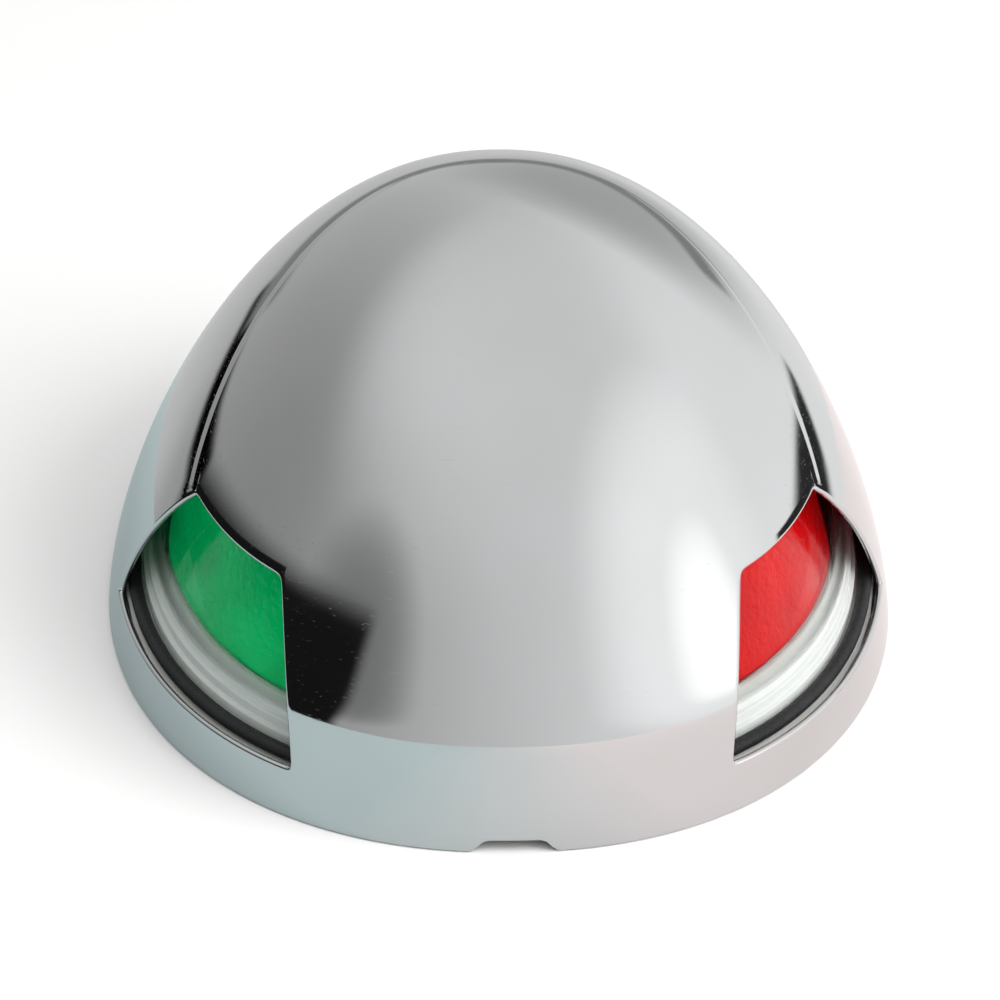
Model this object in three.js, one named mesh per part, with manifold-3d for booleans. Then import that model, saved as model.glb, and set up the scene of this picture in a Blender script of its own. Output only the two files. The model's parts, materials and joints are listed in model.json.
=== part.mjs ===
// Two-colour bow navigation light: a pressed stainless cover over a clear lens, two colour
// filters and two festoon bulbs on a plastic base. Millimetres, +Z up, -Y is forward,
// +X is port (red). The origin is the centre of the outline on the deck.
import * as THREE from 'three';
import { mergeVertices } from 'three/addons/utils/BufferGeometryUtils.js';
import Module from 'manifold-3d';

// Driving dimensions of the whole light.
const HALF_WIDTH = 48;
const HALF_LENGTH = 53.5;
const HEIGHT = 55;
const OUTLINE_POWER = 2.15;      // a superellipse a little squarer than an ellipse
const PROFILE_POWER = 1.4;       // the dome rises as 1 - (z / height) ^ power
const GAP = 0.3;                 // clearance between touching pieces

// Cover.
const SHEET = 0.8;
const CREASE_Z = 14;             // top of the upright band round the nose
const BAND_TAPER = 0.04;         // how much of its radius the band loses up to the crease
const CREASE_FADE = 20;          // height over which the nose returns to the plain dome
const VALLEY_DEPTH = 1.2;        // shallow valley between the nose and each flank
const VALLEY_SLOPE = 0.95;       // the flank's front edge lies on the plane y = slope z - offset
const VALLEY_OFFSET = 40.5;
const VALLEY_STEEP = 3.5;        // width of the steep side of the valley, by the flank
const VALLEY_WIDE = 16;          // width of the gentle side, out on the nose
const NOTCH = { wide: 9.5, narrow: 6.7, high: 1.5 };

// Windows, cut by an upright plane, two level planes and a leaning curved aft edge.
const WINDOW_INNER_LOW = 24.7;   // half the metal left at the nose, at the bottom and the top
const WINDOW_INNER_HIGH = 25.6;
const WINDOW_BOTTOM = 5.9;
const WINDOW_TOP = 25.8;
const WINDOW_AFT_LOW = -10.2;
const WINDOW_AFT_MID = -12.8;
const WINDOW_AFT_HIGH = -18.2;

// Clear lens and colour filters, measured inwards from the plain dome.
const LENS_INSET = 3.8;
const LENS_WALL = 2;
const LENS_BOTTOM = 5.3;
const LENS_ROOF = 36;
const FLANGE_STEPS = [[4.5, 7.4], [5.1, 8.7], [5.7, 10]];   // inset of each step, and its top
const FILTER_WALL = 1.5;
const FILTER_BOTTOM = 11;
const FILTER_TOP = 33.4;
const FILTER_SPLIT = 3;          // half the space between the two filters at the nose
const FILTER_AFT = 8;

// Base.
const GASKET_INSET = 2.1;
const GASKET_TOP = 1.5;
const BASE_INSET = 2.1;
const BASE_BOTTOM = GASKET_TOP + GAP;
const BASE_FLOOR = 5;
const RIM_TOP = 8.3;
const RIM_WALL = 1.5;
const SEAL_INSET = 3.3;
const SEAL_RADIUS = 0.85;
const PILLAR = { y: 6, radius: 4, top: LENS_ROOF - LENS_WALL - 2 * GAP, bore: 1.9, boreEnd: 20 };
const MOUNT_HOLES = [[-10, -37.5], [10, 32]];
const MOUNT_HOLE_RADIUS = 2.3;
const MOUNT_HEAD_RADIUS = 4.2;
const CABLE = { x: -10, y: 27, hole: 5, bore: 3.2 };

// Bulbs and their contacts.
const BULB = { x: 21, y: -8, z: 17, half: 12, radius: 4.25, wall: 0.6 };
const CAP = { radius: 4.9, cup: 3, nib: 1.4, nibStart: 4.5, nibEnd: 7 };
const FORK = { reach: 18, half: 3.2, top: 21, slot: 1.7, thick: 0.6, foot: 6.7 };
const STRIP = { low: BASE_FLOOR + GAP, thick: 0.5, half: 2.5 };
const RIVET_REACH = 22;          // rivet centre to bulb centre, along Y
const HOLE = 1.25;               // drilled for the rivets and the terminal screws
const TERMINALS = { supply: [-10, 14], return: [10, 4] };
const CLIP = { half: 5, leaf: 0.4, outside: 1.9, depth: 2.9, top: 4.2 };

// Resolution.
const COVER_TURNS = 64;
const COVER_RINGS = 14;
const TURNS = 44;

const wasm = await Module();
wasm.setup();

// ---- Solids ------------------------------------------------------------------------------

/** Merges shared vertices, drops empty triangles and turns the faces outwards. */
function weld(geometry) {
  const bare = geometry.clone();
  bare.deleteAttribute('normal');
  bare.deleteAttribute('uv');
  const merged = mergeVertices(bare, 1e-4);
  const corners = merged.index.array;
  const kept = [];
  for (let i = 0; i < corners.length; i += 3) {
    const [a, b, c] = [corners[i], corners[i + 1], corners[i + 2]];
    if (a !== b && b !== c && c !== a) kept.push(a, b, c);
  }
  merged.setIndex(kept);
  if (signedVolume(merged) < 0) merged.setIndex(kept.reverse());
  return merged;
}

function signedVolume(geometry) {
  const position = geometry.attributes.position;
  const corner = (i) => new THREE.Vector3().fromBufferAttribute(position, geometry.index.getX(i));
  let volume = 0;
  for (let i = 0; i < geometry.index.count; i += 3) {
    volume += corner(i).dot(corner(i + 1).cross(corner(i + 2))) / 6;
  }
  return volume;
}

function toManifold(geometry) {
  const welded = weld(geometry);
  return new wasm.Manifold(new wasm.Mesh({
    numProp: 3,
    vertProperties: new Float32Array(welded.attributes.position.array),
    triVerts: new Uint32Array(welded.index.array),
  }));
}

function fromManifold(solid) {
  const mesh = solid.getMesh();
  const geometry = new THREE.BufferGeometry();
  geometry.setAttribute('position', new THREE.BufferAttribute(mesh.vertProperties, 3));
  geometry.setIndex(new THREE.BufferAttribute(mesh.triVerts, 1));
  return geometry;
}

const cut = (body, ...tools) => fromManifold(
  tools.reduce((solid, tool) => solid.subtract(toManifold(tool)), toManifold(body)));

const join = (body, ...others) => fromManifold(
  others.reduce((solid, other) => solid.add(toManifold(other)), toManifold(body)));

const keepInside = (body, tool) => fromManifold(toManifold(body).intersect(toManifold(tool)));

/** A box between two corners. */
function block(low, high) {
  const size = high.map((value, i) => value - low[i]);
  const middle = high.map((value, i) => (value + low[i]) / 2);
  return new THREE.BoxGeometry(...size).translate(...middle);
}

/** An upright round bar. */
function bar(x, y, low, high, radius, turns = 20) {
  return new THREE.CylinderGeometry(radius, radius, high - low, turns)
    .rotateX(Math.PI / 2).translate(x, y, (low + high) / 2);
}

/** A profile of [radius, height] turned about the upright line through x, y. */
function turned(profile, x, y, turns = 20) {
  const points = profile.map(([radius, height]) => new THREE.Vector2(radius, height));
  return new THREE.LatheGeometry(points, turns).rotateX(Math.PI / 2).translate(x, y, 0);
}

/** An outline in the Y-Z plane, given thickness along X from x0 to x1. */
function slabAcross(outline, x0, x1) {
  const shape = new THREE.Shape(outline.map(([y, z]) => new THREE.Vector2(y, z)));
  const toYZ = new THREE.Matrix4().makeBasis(
    new THREE.Vector3(0, 1, 0), new THREE.Vector3(0, 0, 1), new THREE.Vector3(1, 0, 0));
  return new THREE.ExtrudeGeometry(shape, { depth: x1 - x0, bevelEnabled: false })
    .applyMatrix4(toYZ).translate(x0, 0, 0);
}

/** An outline in the X-Z plane, given thickness along Y from y0 to y1. */
function slabAlong(outline, y0, y1) {
  const shape = new THREE.Shape(outline.map(([x, z]) => new THREE.Vector2(x, z)));
  return new THREE.ExtrudeGeometry(shape, { depth: y1 - y0, bevelEnabled: false })
    .rotateX(Math.PI / 2).translate(0, y1, 0);
}

/** An outline in the X-Y plane, given thickness along Z from z0 to z1. */
function slabUp(outline, z0, z1) {
  const shape = new THREE.Shape(outline.map(([x, y]) => new THREE.Vector2(x, y)));
  return new THREE.ExtrudeGeometry(shape, { depth: z1 - z0, bevelEnabled: false })
    .translate(0, 0, z0);
}

/** Joins rings of points into a skin. A ring of one point is a pole; a closed skin also
    joins its last ring to its first. */
function skin(rings, isClosed) {
  const positions = rings.flat().flatMap((point) => [point.x, point.y, point.z]);
  const starts = [];
  rings.reduce((start, ring) => { starts.push(start); return start + ring.length; }, 0);
  const faces = [];
  const links = isClosed ? rings.length : rings.length - 1;
  for (let j = 0; j < links; j += 1) {
    const k = (j + 1) % rings.length;
    const turns = Math.max(rings[j].length, rings[k].length);
    for (let i = 0; i < turns; i += 1) {
      const next = (i + 1) % turns;
      const a = starts[j] + (rings[j].length > 1 ? i : 0);
      const b = starts[j] + (rings[j].length > 1 ? next : 0);
      const c = starts[k] + (rings[k].length > 1 ? next : 0);
      const d = starts[k] + (rings[k].length > 1 ? i : 0);
      faces.push(a, b, c, a, c, d);
    }
  }
  const geometry = new THREE.BufferGeometry();
  geometry.setAttribute('position', new THREE.Float32BufferAttribute(positions, 3));
  geometry.setIndex(faces);
  return weld(geometry);
}

// ---- The outline and the dome ------------------------------------------------------------

/** Point of the oval outline at an angle from dead ahead, for given half-axes. */
function onOval(angle, halfWidth, halfLength, z) {
  const across = Math.sign(Math.sin(angle)) * Math.abs(Math.sin(angle)) ** (2 / OUTLINE_POWER);
  const along = Math.sign(Math.cos(angle)) * Math.abs(Math.cos(angle)) ** (2 / OUTLINE_POWER);
  return new THREE.Vector3(halfWidth * across, -halfLength * along, z);
}

function ovalRing(inset, z, scale = 1) {
  const [a, b] = [HALF_WIDTH * scale - inset, HALF_LENGTH * scale - inset];
  if (a <= 0) return [new THREE.Vector3(0, 0, z)];
  return Array.from({ length: TURNS }, (_, i) => onOval(2 * Math.PI * i / TURNS, a, b, z));
}

/** How wide the plain dome is at a height, as a share of its base. */
const domeScale = (z) => Math.sqrt(Math.max(0, 1 - (z / HEIGHT) ** PROFILE_POWER));

/** A ring at a fixed distance inside the plain dome. */
const domeRing = (inset, z) => ovalRing(inset, z, domeScale(z));

/** A ring of the same section all round: a profile of [inset, height] points. */
const ovalBand = (profile) => skin(profile.map(([inset, z]) => ovalRing(inset, z)), true);

/** A plate of the oval outline. */
function ovalPlate(inset, low, high) {
  const centre = (z) => [new THREE.Vector3(0, 0, z)];
  return skin([centre(low), ovalRing(inset, low), ovalRing(inset, high), centre(high)], false);
}

const smooth = (t) => { const u = Math.min(1, Math.max(0, t)); return u * u * (3 - 2 * u); };
const steps = (count, low, high) => Array.from(
  { length: count + 1 }, (_, i) => low + (high - low) * i / count);

// ---- Cover -------------------------------------------------------------------------------

/** The pressed surface: the dome, with the upright band round the nose and a shallow valley
    on each side between the nose and the flank. */
function coverSurface(angle, z) {
  const fromAhead = Math.abs(Math.atan2(Math.sin(angle), Math.cos(angle)));
  const nose = 1 - smooth((fromAhead - 0.6) / 0.7);
  const bandTop = 1 - BAND_TAPER - domeScale(CREASE_Z);
  const lift = z < CREASE_Z
    ? 1 - BAND_TAPER * z / CREASE_Z - domeScale(z)
    : bandTop * Math.exp((CREASE_Z - z) / CREASE_FADE);
  const scale = domeScale(z) + nose * lift;
  const point = onOval(angle, HALF_WIDTH * scale, HALF_LENGTH * scale, z);
  const ahead = (VALLEY_SLOPE * z - VALLEY_OFFSET - point.y) / Math.hypot(1, VALLEY_SLOPE);
  const steep = smooth(ahead / VALLEY_STEEP);
  const gentle = 1 - smooth((ahead - VALLEY_STEEP) / VALLEY_WIDE);
  const side = smooth((Math.abs(point.x) - 10) / 18) * smooth((z - CREASE_Z) / 10);
  const depth = VALLEY_DEPTH * side * steep * gentle;
  const inwards = new THREE.Vector3(-point.x, -point.y, -point.z * 0.6).normalize();
  return point.addScaledVector(inwards, depth);
}

/** The closed sheet: up over the outside, down the underside, joined round the foot. */
function coverSheet() {
  const angles = Array.from({ length: COVER_TURNS }, (_, i) => 2 * Math.PI * i / COVER_TURNS);
  const heights = steps(COVER_RINGS, 0, Math.PI / 2).slice(0, -1)
    .map((rise) => HEIGHT * Math.sin(rise) ** (2 / PROFILE_POWER));
  const outer = heights.map((z) => angles.map((angle) => coverSurface(angle, z)));
  const inner = heights.map((z) => angles.map((angle) => {
    const around = coverSurface(angle + 0.01, z).sub(coverSurface(angle - 0.01, z));
    const upwards = coverSurface(angle, z + 0.1).sub(coverSurface(angle, Math.max(0, z - 0.1)));
    const point = coverSurface(angle, z)
      .addScaledVector(around.cross(upwards).normalize(), -SHEET);
    return z === 0 ? point.setZ(0) : point;
  }));
  const top = [new THREE.Vector3(0, 0, HEIGHT)];
  const under = [new THREE.Vector3(0, 0, HEIGHT - SHEET)];
  return skin([...outer, top, under, ...inner.reverse()], true);
}

/** The block that one side window is cut with: ahead of a leaning, bowed aft edge. */
function windowTool(side) {
  const aft = new THREE.QuadraticBezierCurve(
    new THREE.Vector2(WINDOW_AFT_LOW, WINDOW_BOTTOM),
    new THREE.Vector2(2 * WINDOW_AFT_MID - (WINDOW_AFT_LOW + WINDOW_AFT_HIGH) / 2,
      (WINDOW_BOTTOM + WINDOW_TOP) / 2),
    new THREE.Vector2(WINDOW_AFT_HIGH, WINDOW_TOP)).getPoints(5);
  const ahead = -HALF_LENGTH - 5;
  const outline = [...aft.map((point) => [point.x, point.y]),
    [ahead, WINDOW_TOP], [ahead, WINDOW_BOTTOM]];
  const [near, far] = [WINDOW_INNER_LOW, HALF_WIDTH + 5];
  const lean = side * (WINDOW_INNER_HIGH - near) / (WINDOW_TOP - WINDOW_BOTTOM);
  const leaning = new THREE.Matrix4().set(
    1, 0, lean, -lean * WINDOW_BOTTOM, 0, 1, 0, 0, 0, 0, 1, 0, 0, 0, 0, 1);
  const block = side > 0 ? slabAcross(outline, near, far) : slabAcross(outline, -far, -near);
  return block.applyMatrix4(leaning);
}

function cover() {
  const notch = slabAlong([[-NOTCH.wide / 2, -1], [-NOTCH.wide / 2, 0],
    [-NOTCH.narrow / 2, NOTCH.high], [NOTCH.narrow / 2, NOTCH.high],
    [NOTCH.wide / 2, 0], [NOTCH.wide / 2, -1]], -HALF_LENGTH - 1, -HALF_LENGTH + 4);
  return cut(coverSheet(), windowTool(-1), windowTool(1), notch);
}

// ---- Lens, filters and seal --------------------------------------------------------------

/** A shell that follows the plain dome inside the cover, with a stepped foot and a flat
    roof that has the clamping screw's hole in it. */
function clearLens() {
  const [[footInset, footTop]] = FLANGE_STEPS;
  const topStep = FLANGE_STEPS.at(-1)[1];
  const inner = LENS_INSET + LENS_WALL;
  const foot = [ovalRing(footInset, LENS_BOTTOM), ovalRing(footInset, footTop)];
  const stairs = FLANGE_STEPS.slice(1).flatMap(([inset, top], i) => [
    ovalRing(inset, FLANGE_STEPS[i][1]), ovalRing(inset, top)]);
  const wall = steps(5, topStep, LENS_ROOF - 2).map((z) => domeRing(LENS_INSET, z));
  const shoulder = [domeRing(LENS_INSET + 1, LENS_ROOF - 0.6), domeRing(LENS_INSET + 3, LENS_ROOF)];
  const lining = steps(5, LENS_ROOF - LENS_WALL, LENS_BOTTOM).map((z) => domeRing(inner, z));
  const centre = (z) => [new THREE.Vector3(0, 0, z)];
  const shell = skin([...foot, ...stairs, ...wall, ...shoulder, centre(LENS_ROOF),
    centre(LENS_ROOF - LENS_WALL), ...lining], true);
  return cut(shell, bar(0, PILLAR.y, LENS_ROOF - 4, LENS_ROOF + 1, PILLAR.bore));
}

/** One colour filter: its side's share of a shell just inside the lens. */
function filter(side) {
  const outside = LENS_INSET + LENS_WALL + GAP;
  const wall = steps(5, FILTER_BOTTOM, FILTER_TOP).map((z) => domeRing(outside, z));
  const lining = steps(5, FILTER_TOP, FILTER_BOTTOM).map((z) => domeRing(outside + FILTER_WALL, z));
  const half = side > 0
    ? block([FILTER_SPLIT, -HALF_LENGTH, 0], [HALF_WIDTH, FILTER_AFT, HEIGHT])
    : block([-HALF_WIDTH, -HALF_LENGTH, 0], [-FILTER_SPLIT, FILTER_AFT, HEIGHT]);
  return keepInside(skin([...wall, ...lining], true), half);
}

/** The rubber ring between the lens's foot and the cover. */
const lensSeal = () => ovalBand(steps(8, 0, 2 * Math.PI).slice(0, -1).map((turn) => [
  SEAL_INSET + SEAL_RADIUS * Math.cos(turn),
  BASE_FLOOR + GAP + SEAL_RADIUS * (1 + Math.sin(turn))]));

const panHead = (low, radius, high) => [
  [0, low], [radius, low], [radius, low + high * 0.5], [radius * 0.75, low + high * 0.9],
  [0, low + high]];

/** A screw standing at x, y: its head sits at low, and its shank goes down to tip. */
function screw(x, y, tip, low, shankRadius, headRadius, headHeight, isCross) {
  const body = join(turned(panHead(low, headRadius, headHeight), x, y),
    bar(x, y, tip, low + 0.2, shankRadius, 16));
  const [slot, reach, bed] = [headRadius * 0.12, headRadius * 0.6, low + headHeight * 0.55];
  const across = block([x - (isCross ? reach : headRadius * 2), y - slot, bed],
    [x + (isCross ? reach : headRadius * 2), y + slot, low + headHeight * 2]);
  if (!isCross) return cut(body, across);
  const along = block([x - slot, y - reach, bed], [x + slot, y + reach, low + headHeight * 2]);
  return cut(body, across, along);
}

const WASHER = { inner: 1.9, outer: 3.4, thick: 0.8 };

const lensScrewWasher = () => turned([[WASHER.inner, LENS_ROOF + GAP], [WASHER.outer, LENS_ROOF + GAP],
  [WASHER.outer, LENS_ROOF + GAP + WASHER.thick], [WASHER.inner, LENS_ROOF + GAP + WASHER.thick],
  [WASHER.inner, LENS_ROOF + GAP]], 0, PILLAR.y);

const lensScrew = () => screw(0, PILLAR.y, PILLAR.boreEnd + 2,
  LENS_ROOF + WASHER.thick + 2 * GAP, PILLAR.bore - 0.4, WASHER.outer, 2.2, true);

// ---- Base --------------------------------------------------------------------------------

const contactRivets = [-1, 1].flatMap((side) => [-RIVET_REACH, RIVET_REACH]
  .map((along) => [side * BULB.x, BULB.y + along]));
const terminals = Object.values(TERMINALS);

/** The three pockets in the base's edge that hold the cover's springs. */
const CLIP_PLACES = { port: [1, 0], starboard: [-1, 0], aft: [0, 1] };

/** The room that one clip needs in the base, from the outline inwards. */
function clipBlock([toSide, toAft], half, high) {
  const edge = toSide ? HALF_WIDTH : HALF_LENGTH;
  const near = edge - BASE_INSET - CLIP.depth;
  if (toAft) return block([-half, near, 0], [half, edge, high]);
  return toSide > 0 ? block([near, -half, 0], [edge, half, high])
    : block([-edge, -half, 0], [-near, half, high]);
}

function baseMoulding() {
  const rimOutside = LENS_INSET + LENS_WALL + 1.5 * GAP;
  const rim = skin([[rimOutside, BASE_FLOOR - 1], [rimOutside, RIM_TOP],
    [rimOutside + RIM_WALL, RIM_TOP], [rimOutside + RIM_WALL, BASE_FLOOR - 1]]
    .map(([inset, z]) => domeRing(inset, z)), true);
  const body = join(ovalPlate(BASE_INSET, BASE_BOTTOM, BASE_FLOOR), rim,
    bar(0, PILLAR.y, BASE_FLOOR - 1, PILLAR.top, PILLAR.radius, 24));
  const screwHoles = MOUNT_HOLES.flatMap(([x, y]) => [
    bar(x, y, 0, BASE_FLOOR + 1, MOUNT_HOLE_RADIUS),
    bar(x, y, BASE_FLOOR - 0.8, BASE_FLOOR + 1, MOUNT_HEAD_RADIUS)]);
  const smallHoles = [...contactRivets, ...terminals]
    .map(([x, y]) => bar(x, y, BASE_BOTTOM + 0.6, BASE_FLOOR + 1, HOLE, 12));
  const pockets = Object.values(CLIP_PLACES)
    .map((place) => clipBlock(place, CLIP.half + GAP, CLIP.top));
  return cut(body, ...screwHoles, ...smallHoles, ...pockets,
    bar(0, PILLAR.y, PILLAR.boreEnd, PILLAR.top + 1, PILLAR.bore),
    bar(CABLE.x, CABLE.y, 0, BASE_FLOOR + 1, CABLE.hole));
}

const baseGasket = () => cut(ovalPlate(GASKET_INSET, 0, GASKET_TOP),
  ...MOUNT_HOLES.map(([x, y]) => bar(x, y, -1, GASKET_TOP + 1, MOUNT_HOLE_RADIUS)),
  bar(CABLE.x, CABLE.y, -1, GASKET_TOP + 1, CABLE.hole));

/** A leaf bent out to the cover's foot at its middle and back into its pocket at each end. */
function coverClip([toSide, toAft]) {
  const { half, leaf, outside, depth, top } = CLIP;
  const back = BASE_INSET + depth - leaf - GAP;
  const inset = (place) => back - (back - outside) * (1 + Math.cos(Math.PI * place / half)) / 2;
  const outline = [...steps(10, -half, half).map((place) => [place, inset(place)]),
    ...steps(10, half, -half).map((place) => [place, inset(place) + leaf])];
  const edge = toAft ? HALF_LENGTH : HALF_WIDTH;
  return slabUp(outline.map(([place, from]) => (
    toAft ? [place, edge - from] : [toSide * (edge - from), place])), BASE_BOTTOM + 0.2, top - GAP);
}

/** The rubber grommet that a cable passes up through, with a collar above the floor. */
const cableGrommet = () => turned([[CABLE.bore, GAP], [CABLE.hole - GAP, GAP],
  [CABLE.hole - GAP, BASE_FLOOR + GAP], [CABLE.hole + 1.2, BASE_FLOOR + GAP],
  [CABLE.hole + 1.2, BASE_FLOOR + 1.8], [CABLE.bore + 1, BASE_FLOOR + 4], [CABLE.bore, BASE_FLOOR + 4],
  [CABLE.bore, GAP]], CABLE.x, CABLE.y, 24);

/** The opaque wall that keeps each bulb's light on its own side. */
function centreScreen() {
  const half = 0.8;
  const aft = PILLAR.y - PILLAR.radius - GAP;
  const low = BASE_FLOOR + GAP;
  const front = (z) => -(HALF_LENGTH * domeScale(z) - LENS_INSET - LENS_WALL - 4 * GAP - RIM_WALL);
  const strip = BULB.y - RIVET_REACH;
  const notchTop = STRIP.low + STRIP.thick + GAP;
  const leading = steps(5, low, PILLAR.top - GAP).map((z) => [front(z), z]);
  return slabAcross([[aft, low], [aft, PILLAR.top - GAP], ...leading.reverse(),
    [strip - STRIP.half - 1, low], [strip - STRIP.half - 1, notchTop],
    [strip + STRIP.half + 1, notchTop], [strip + STRIP.half + 1, low]], -half, half);
}

// ---- Electrical parts --------------------------------------------------------------------

const mirrored = (outline, side) => outline.map(([x, z]) => [side * x, z]);

/** A bright curved sheet inboard of one bulb, standing on a leg. */
function reflector(side) {
  const [inside, sheet] = [10, 0.6];
  const arc = (radius) => steps(10, Math.PI * 0.69, Math.PI * 1.39)
    .map((turn) => [BULB.x + radius * Math.cos(turn), BULB.z + radius * Math.sin(turn)]);
  const [inner, outer] = [arc(inside), arc(inside + sheet)];
  const legX = inner.at(-1)[0];
  const outline = [...inner, [legX, BASE_FLOOR + GAP], [legX - sheet, BASE_FLOOR + GAP],
    ...outer.slice(0, -1).reverse()];
  return slabAlong(mirrored(outline, side), BULB.y - BULB.half, BULB.y + BULB.half);
}

/** A shape turned about the bulb's own axis, from [radius, distance from its middle]. */
function alongBulb(profile, side, turns = 16) {
  const points = profile.map(([radius, along]) => new THREE.Vector2(radius, along));
  return new THREE.LatheGeometry(points, turns).translate(side * BULB.x, BULB.y, BULB.z);
}

function bulbGlass(side) {
  const { half, radius, wall } = BULB;
  const shoulder = half - 2.5;
  const neck = radius - 0.7;
  return alongBulb([[neck, -half], [radius, -shoulder], [radius, shoulder], [neck, half],
    [neck - wall, half], [radius - wall, shoulder], [radius - wall, -shoulder],
    [neck - wall, -half], [neck, -half]], side);
}

/** An end cap: a cup over the glass, a cone and the nib that sits in a contact's fork. */
function bulbCap(side, end) {
  const rim = BULB.half - CAP.cup + GAP;
  const bed = BULB.half + GAP;
  const profile = [[0, bed], [CAP.radius - 0.35, bed], [CAP.radius - 0.35, rim], [CAP.radius, rim],
    [CAP.radius, bed + 1.2], [CAP.nib, BULB.half + CAP.nibStart], [CAP.nib, BULB.half + CAP.nibEnd],
    [0, BULB.half + CAP.nibEnd]];
  return alongBulb(profile.map(([radius, along]) => [radius, end * along]), side);
}

/** The filament and its lead wires, sagging a little between the caps. */
function bulbFilament(side) {
  const reach = BULB.half - 0.2;
  const points = steps(12, -reach, reach).map((along) => new THREE.Vector3(
    side * BULB.x, BULB.y + along, BULB.z - 0.6 * Math.cos(Math.PI * along / reach / 2)));
  const section = new THREE.Shape().absarc(0, 0, 0.25, 0, 2 * Math.PI);
  return new THREE.ExtrudeGeometry(section, {
    steps: 14, curveSegments: 3, bevelEnabled: false,
    extrudePath: new THREE.CatmullRomCurve3(points),
  });
}

/** A contact: an upright leaf forked to take a bulb's nib, and a foot under a rivet. */
function contact(side, end) {
  const face = BULB.y + end * FORK.reach;
  const low = STRIP.low + STRIP.thick + GAP;
  const bed = BULB.z - CAP.nib - GAP;
  const [x, half, slot] = [BULB.x, FORK.half, FORK.slot];
  const leaf = slabAlong(mirrored([[x - half, low], [x + half, low], [x + half, FORK.top],
    [x + slot + 0.4, FORK.top], [x + slot, FORK.top - 1], [x + slot, bed], [x - slot, bed],
    [x - slot, FORK.top - 1], [x - slot - 0.4, FORK.top], [x - half, FORK.top]], side),
    face - FORK.thick / 2, face + FORK.thick / 2);
  const [from, to] = [face, face + end * FORK.foot].sort((p, q) => p - q);
  const foot = block([side * x - half + 0.5, from, low], [side * x + half - 0.5, to, low + STRIP.thick]);
  return cut(join(leaf, foot),
    bar(side * x, BULB.y + end * RIVET_REACH, low - 1, low + 2, HOLE, 12));
}

/** A brass strip across the base, joining two contacts, with its rivet and screw holes. */
function strip(end, terminal) {
  const y = BULB.y + end * RIVET_REACH;
  const [low, high] = [STRIP.low, STRIP.low + STRIP.thick];
  const reach = BULB.x + STRIP.half;
  const across = block([-reach, y - STRIP.half, low], [reach, y + STRIP.half, high]);
  const [x, tailEnd] = terminal;
  const tail = end < 0
    ? join(across, block([x - STRIP.half, y, low], [x + STRIP.half, tailEnd + STRIP.half, high]))
    : across;
  return cut(tail, ...[-1, 1].map((side) => bar(side * BULB.x, y, low - 1, high + 1, HOLE, 12)),
    bar(x, tailEnd, low - 1, high + 1, HOLE, 12));
}

function contactRivet(side, end) {
  const [x, y] = [side * BULB.x, BULB.y + end * RIVET_REACH];
  const low = STRIP.low + 2 * STRIP.thick + 2 * GAP;
  return join(turned([[0, low], [1.9, low], [1.7, low + 0.6], [1, low + 1], [0, low + 1.1]], x, y, 16),
    bar(x, y, BASE_BOTTOM + 1, low + 0.2, HOLE - GAP, 12));
}

const terminalScrew = ([x, y]) => screw(x, y, BASE_BOTTOM + 1, STRIP.low + STRIP.thick + GAP,
  HOLE - GAP, 2.5, 1.9, false);

// ---- The light ---------------------------------------------------------------------------

const finishes = {
  polishedStainless: { color: 0xc4c6c8, roughness: 0.08, metalness: 1 },
  springStainless: { color: 0xa9abad, roughness: 0.3, metalness: 1 },
  clearPlastic: { color: 0xe9f0ee, roughness: 0.05, metalness: 0, transparent: true, opacity: 0.4 },
  greenPlastic: { color: 0x12a355, roughness: 0.15, metalness: 0 },
  redPlastic: { color: 0xd91a20, roughness: 0.15, metalness: 0 },
  blackRubber: { color: 0x17181a, roughness: 0.7, metalness: 0 },
  whitePlastic: { color: 0xe3e3de, roughness: 0.45, metalness: 0 },
  blackPlastic: { color: 0x1e1f21, roughness: 0.5, metalness: 0 },
  brightAluminium: { color: 0xd6d8da, roughness: 0.12, metalness: 1 },
  brass: { color: 0xc9a34a, roughness: 0.3, metalness: 1 },
  glass: { color: 0xf4f7f7, roughness: 0.02, metalness: 0, transparent: true, opacity: 0.3 },
  tungsten: { color: 0x5c5d60, roughness: 0.4, metalness: 1 },
};

const light = new THREE.Group();

function addPiece(name, geometry, finish) {
  const mesh = new THREE.Mesh(geometry, new THREE.MeshStandardMaterial(finishes[finish]));
  mesh.geometry = weld(geometry);
  mesh.geometry.computeVertexNormals();
  mesh.name = name;
  light.add(mesh);
}

addPiece('cover_shell', cover(), 'polishedStainless');
addPiece('clear_lens', clearLens(), 'clearPlastic');
addPiece('green_filter', filter(-1), 'greenPlastic');
addPiece('red_filter', filter(1), 'redPlastic');
addPiece('lens_screw', lensScrew(), 'springStainless');
addPiece('lens_screw_washer', lensScrewWasher(), 'blackRubber');
addPiece('lens_seal', lensSeal(), 'blackRubber');
addPiece('base_moulding', baseMoulding(), 'whitePlastic');
addPiece('base_gasket', baseGasket(), 'blackRubber');
addPiece('cable_grommet', cableGrommet(), 'blackRubber');
addPiece('centre_screen', centreScreen(), 'blackPlastic');
addPiece('supply_strip', strip(1, TERMINALS.supply), 'brass');
addPiece('return_strip', strip(-1, TERMINALS.return), 'brass');
addPiece('supply_terminal_screw', terminalScrew(TERMINALS.supply), 'brass');
addPiece('return_terminal_screw', terminalScrew(TERMINALS.return), 'brass');

for (const [place, direction] of Object.entries(CLIP_PLACES)) {
  addPiece(`cover_clip_${place}`, coverClip(direction), 'springStainless');
}

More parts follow.
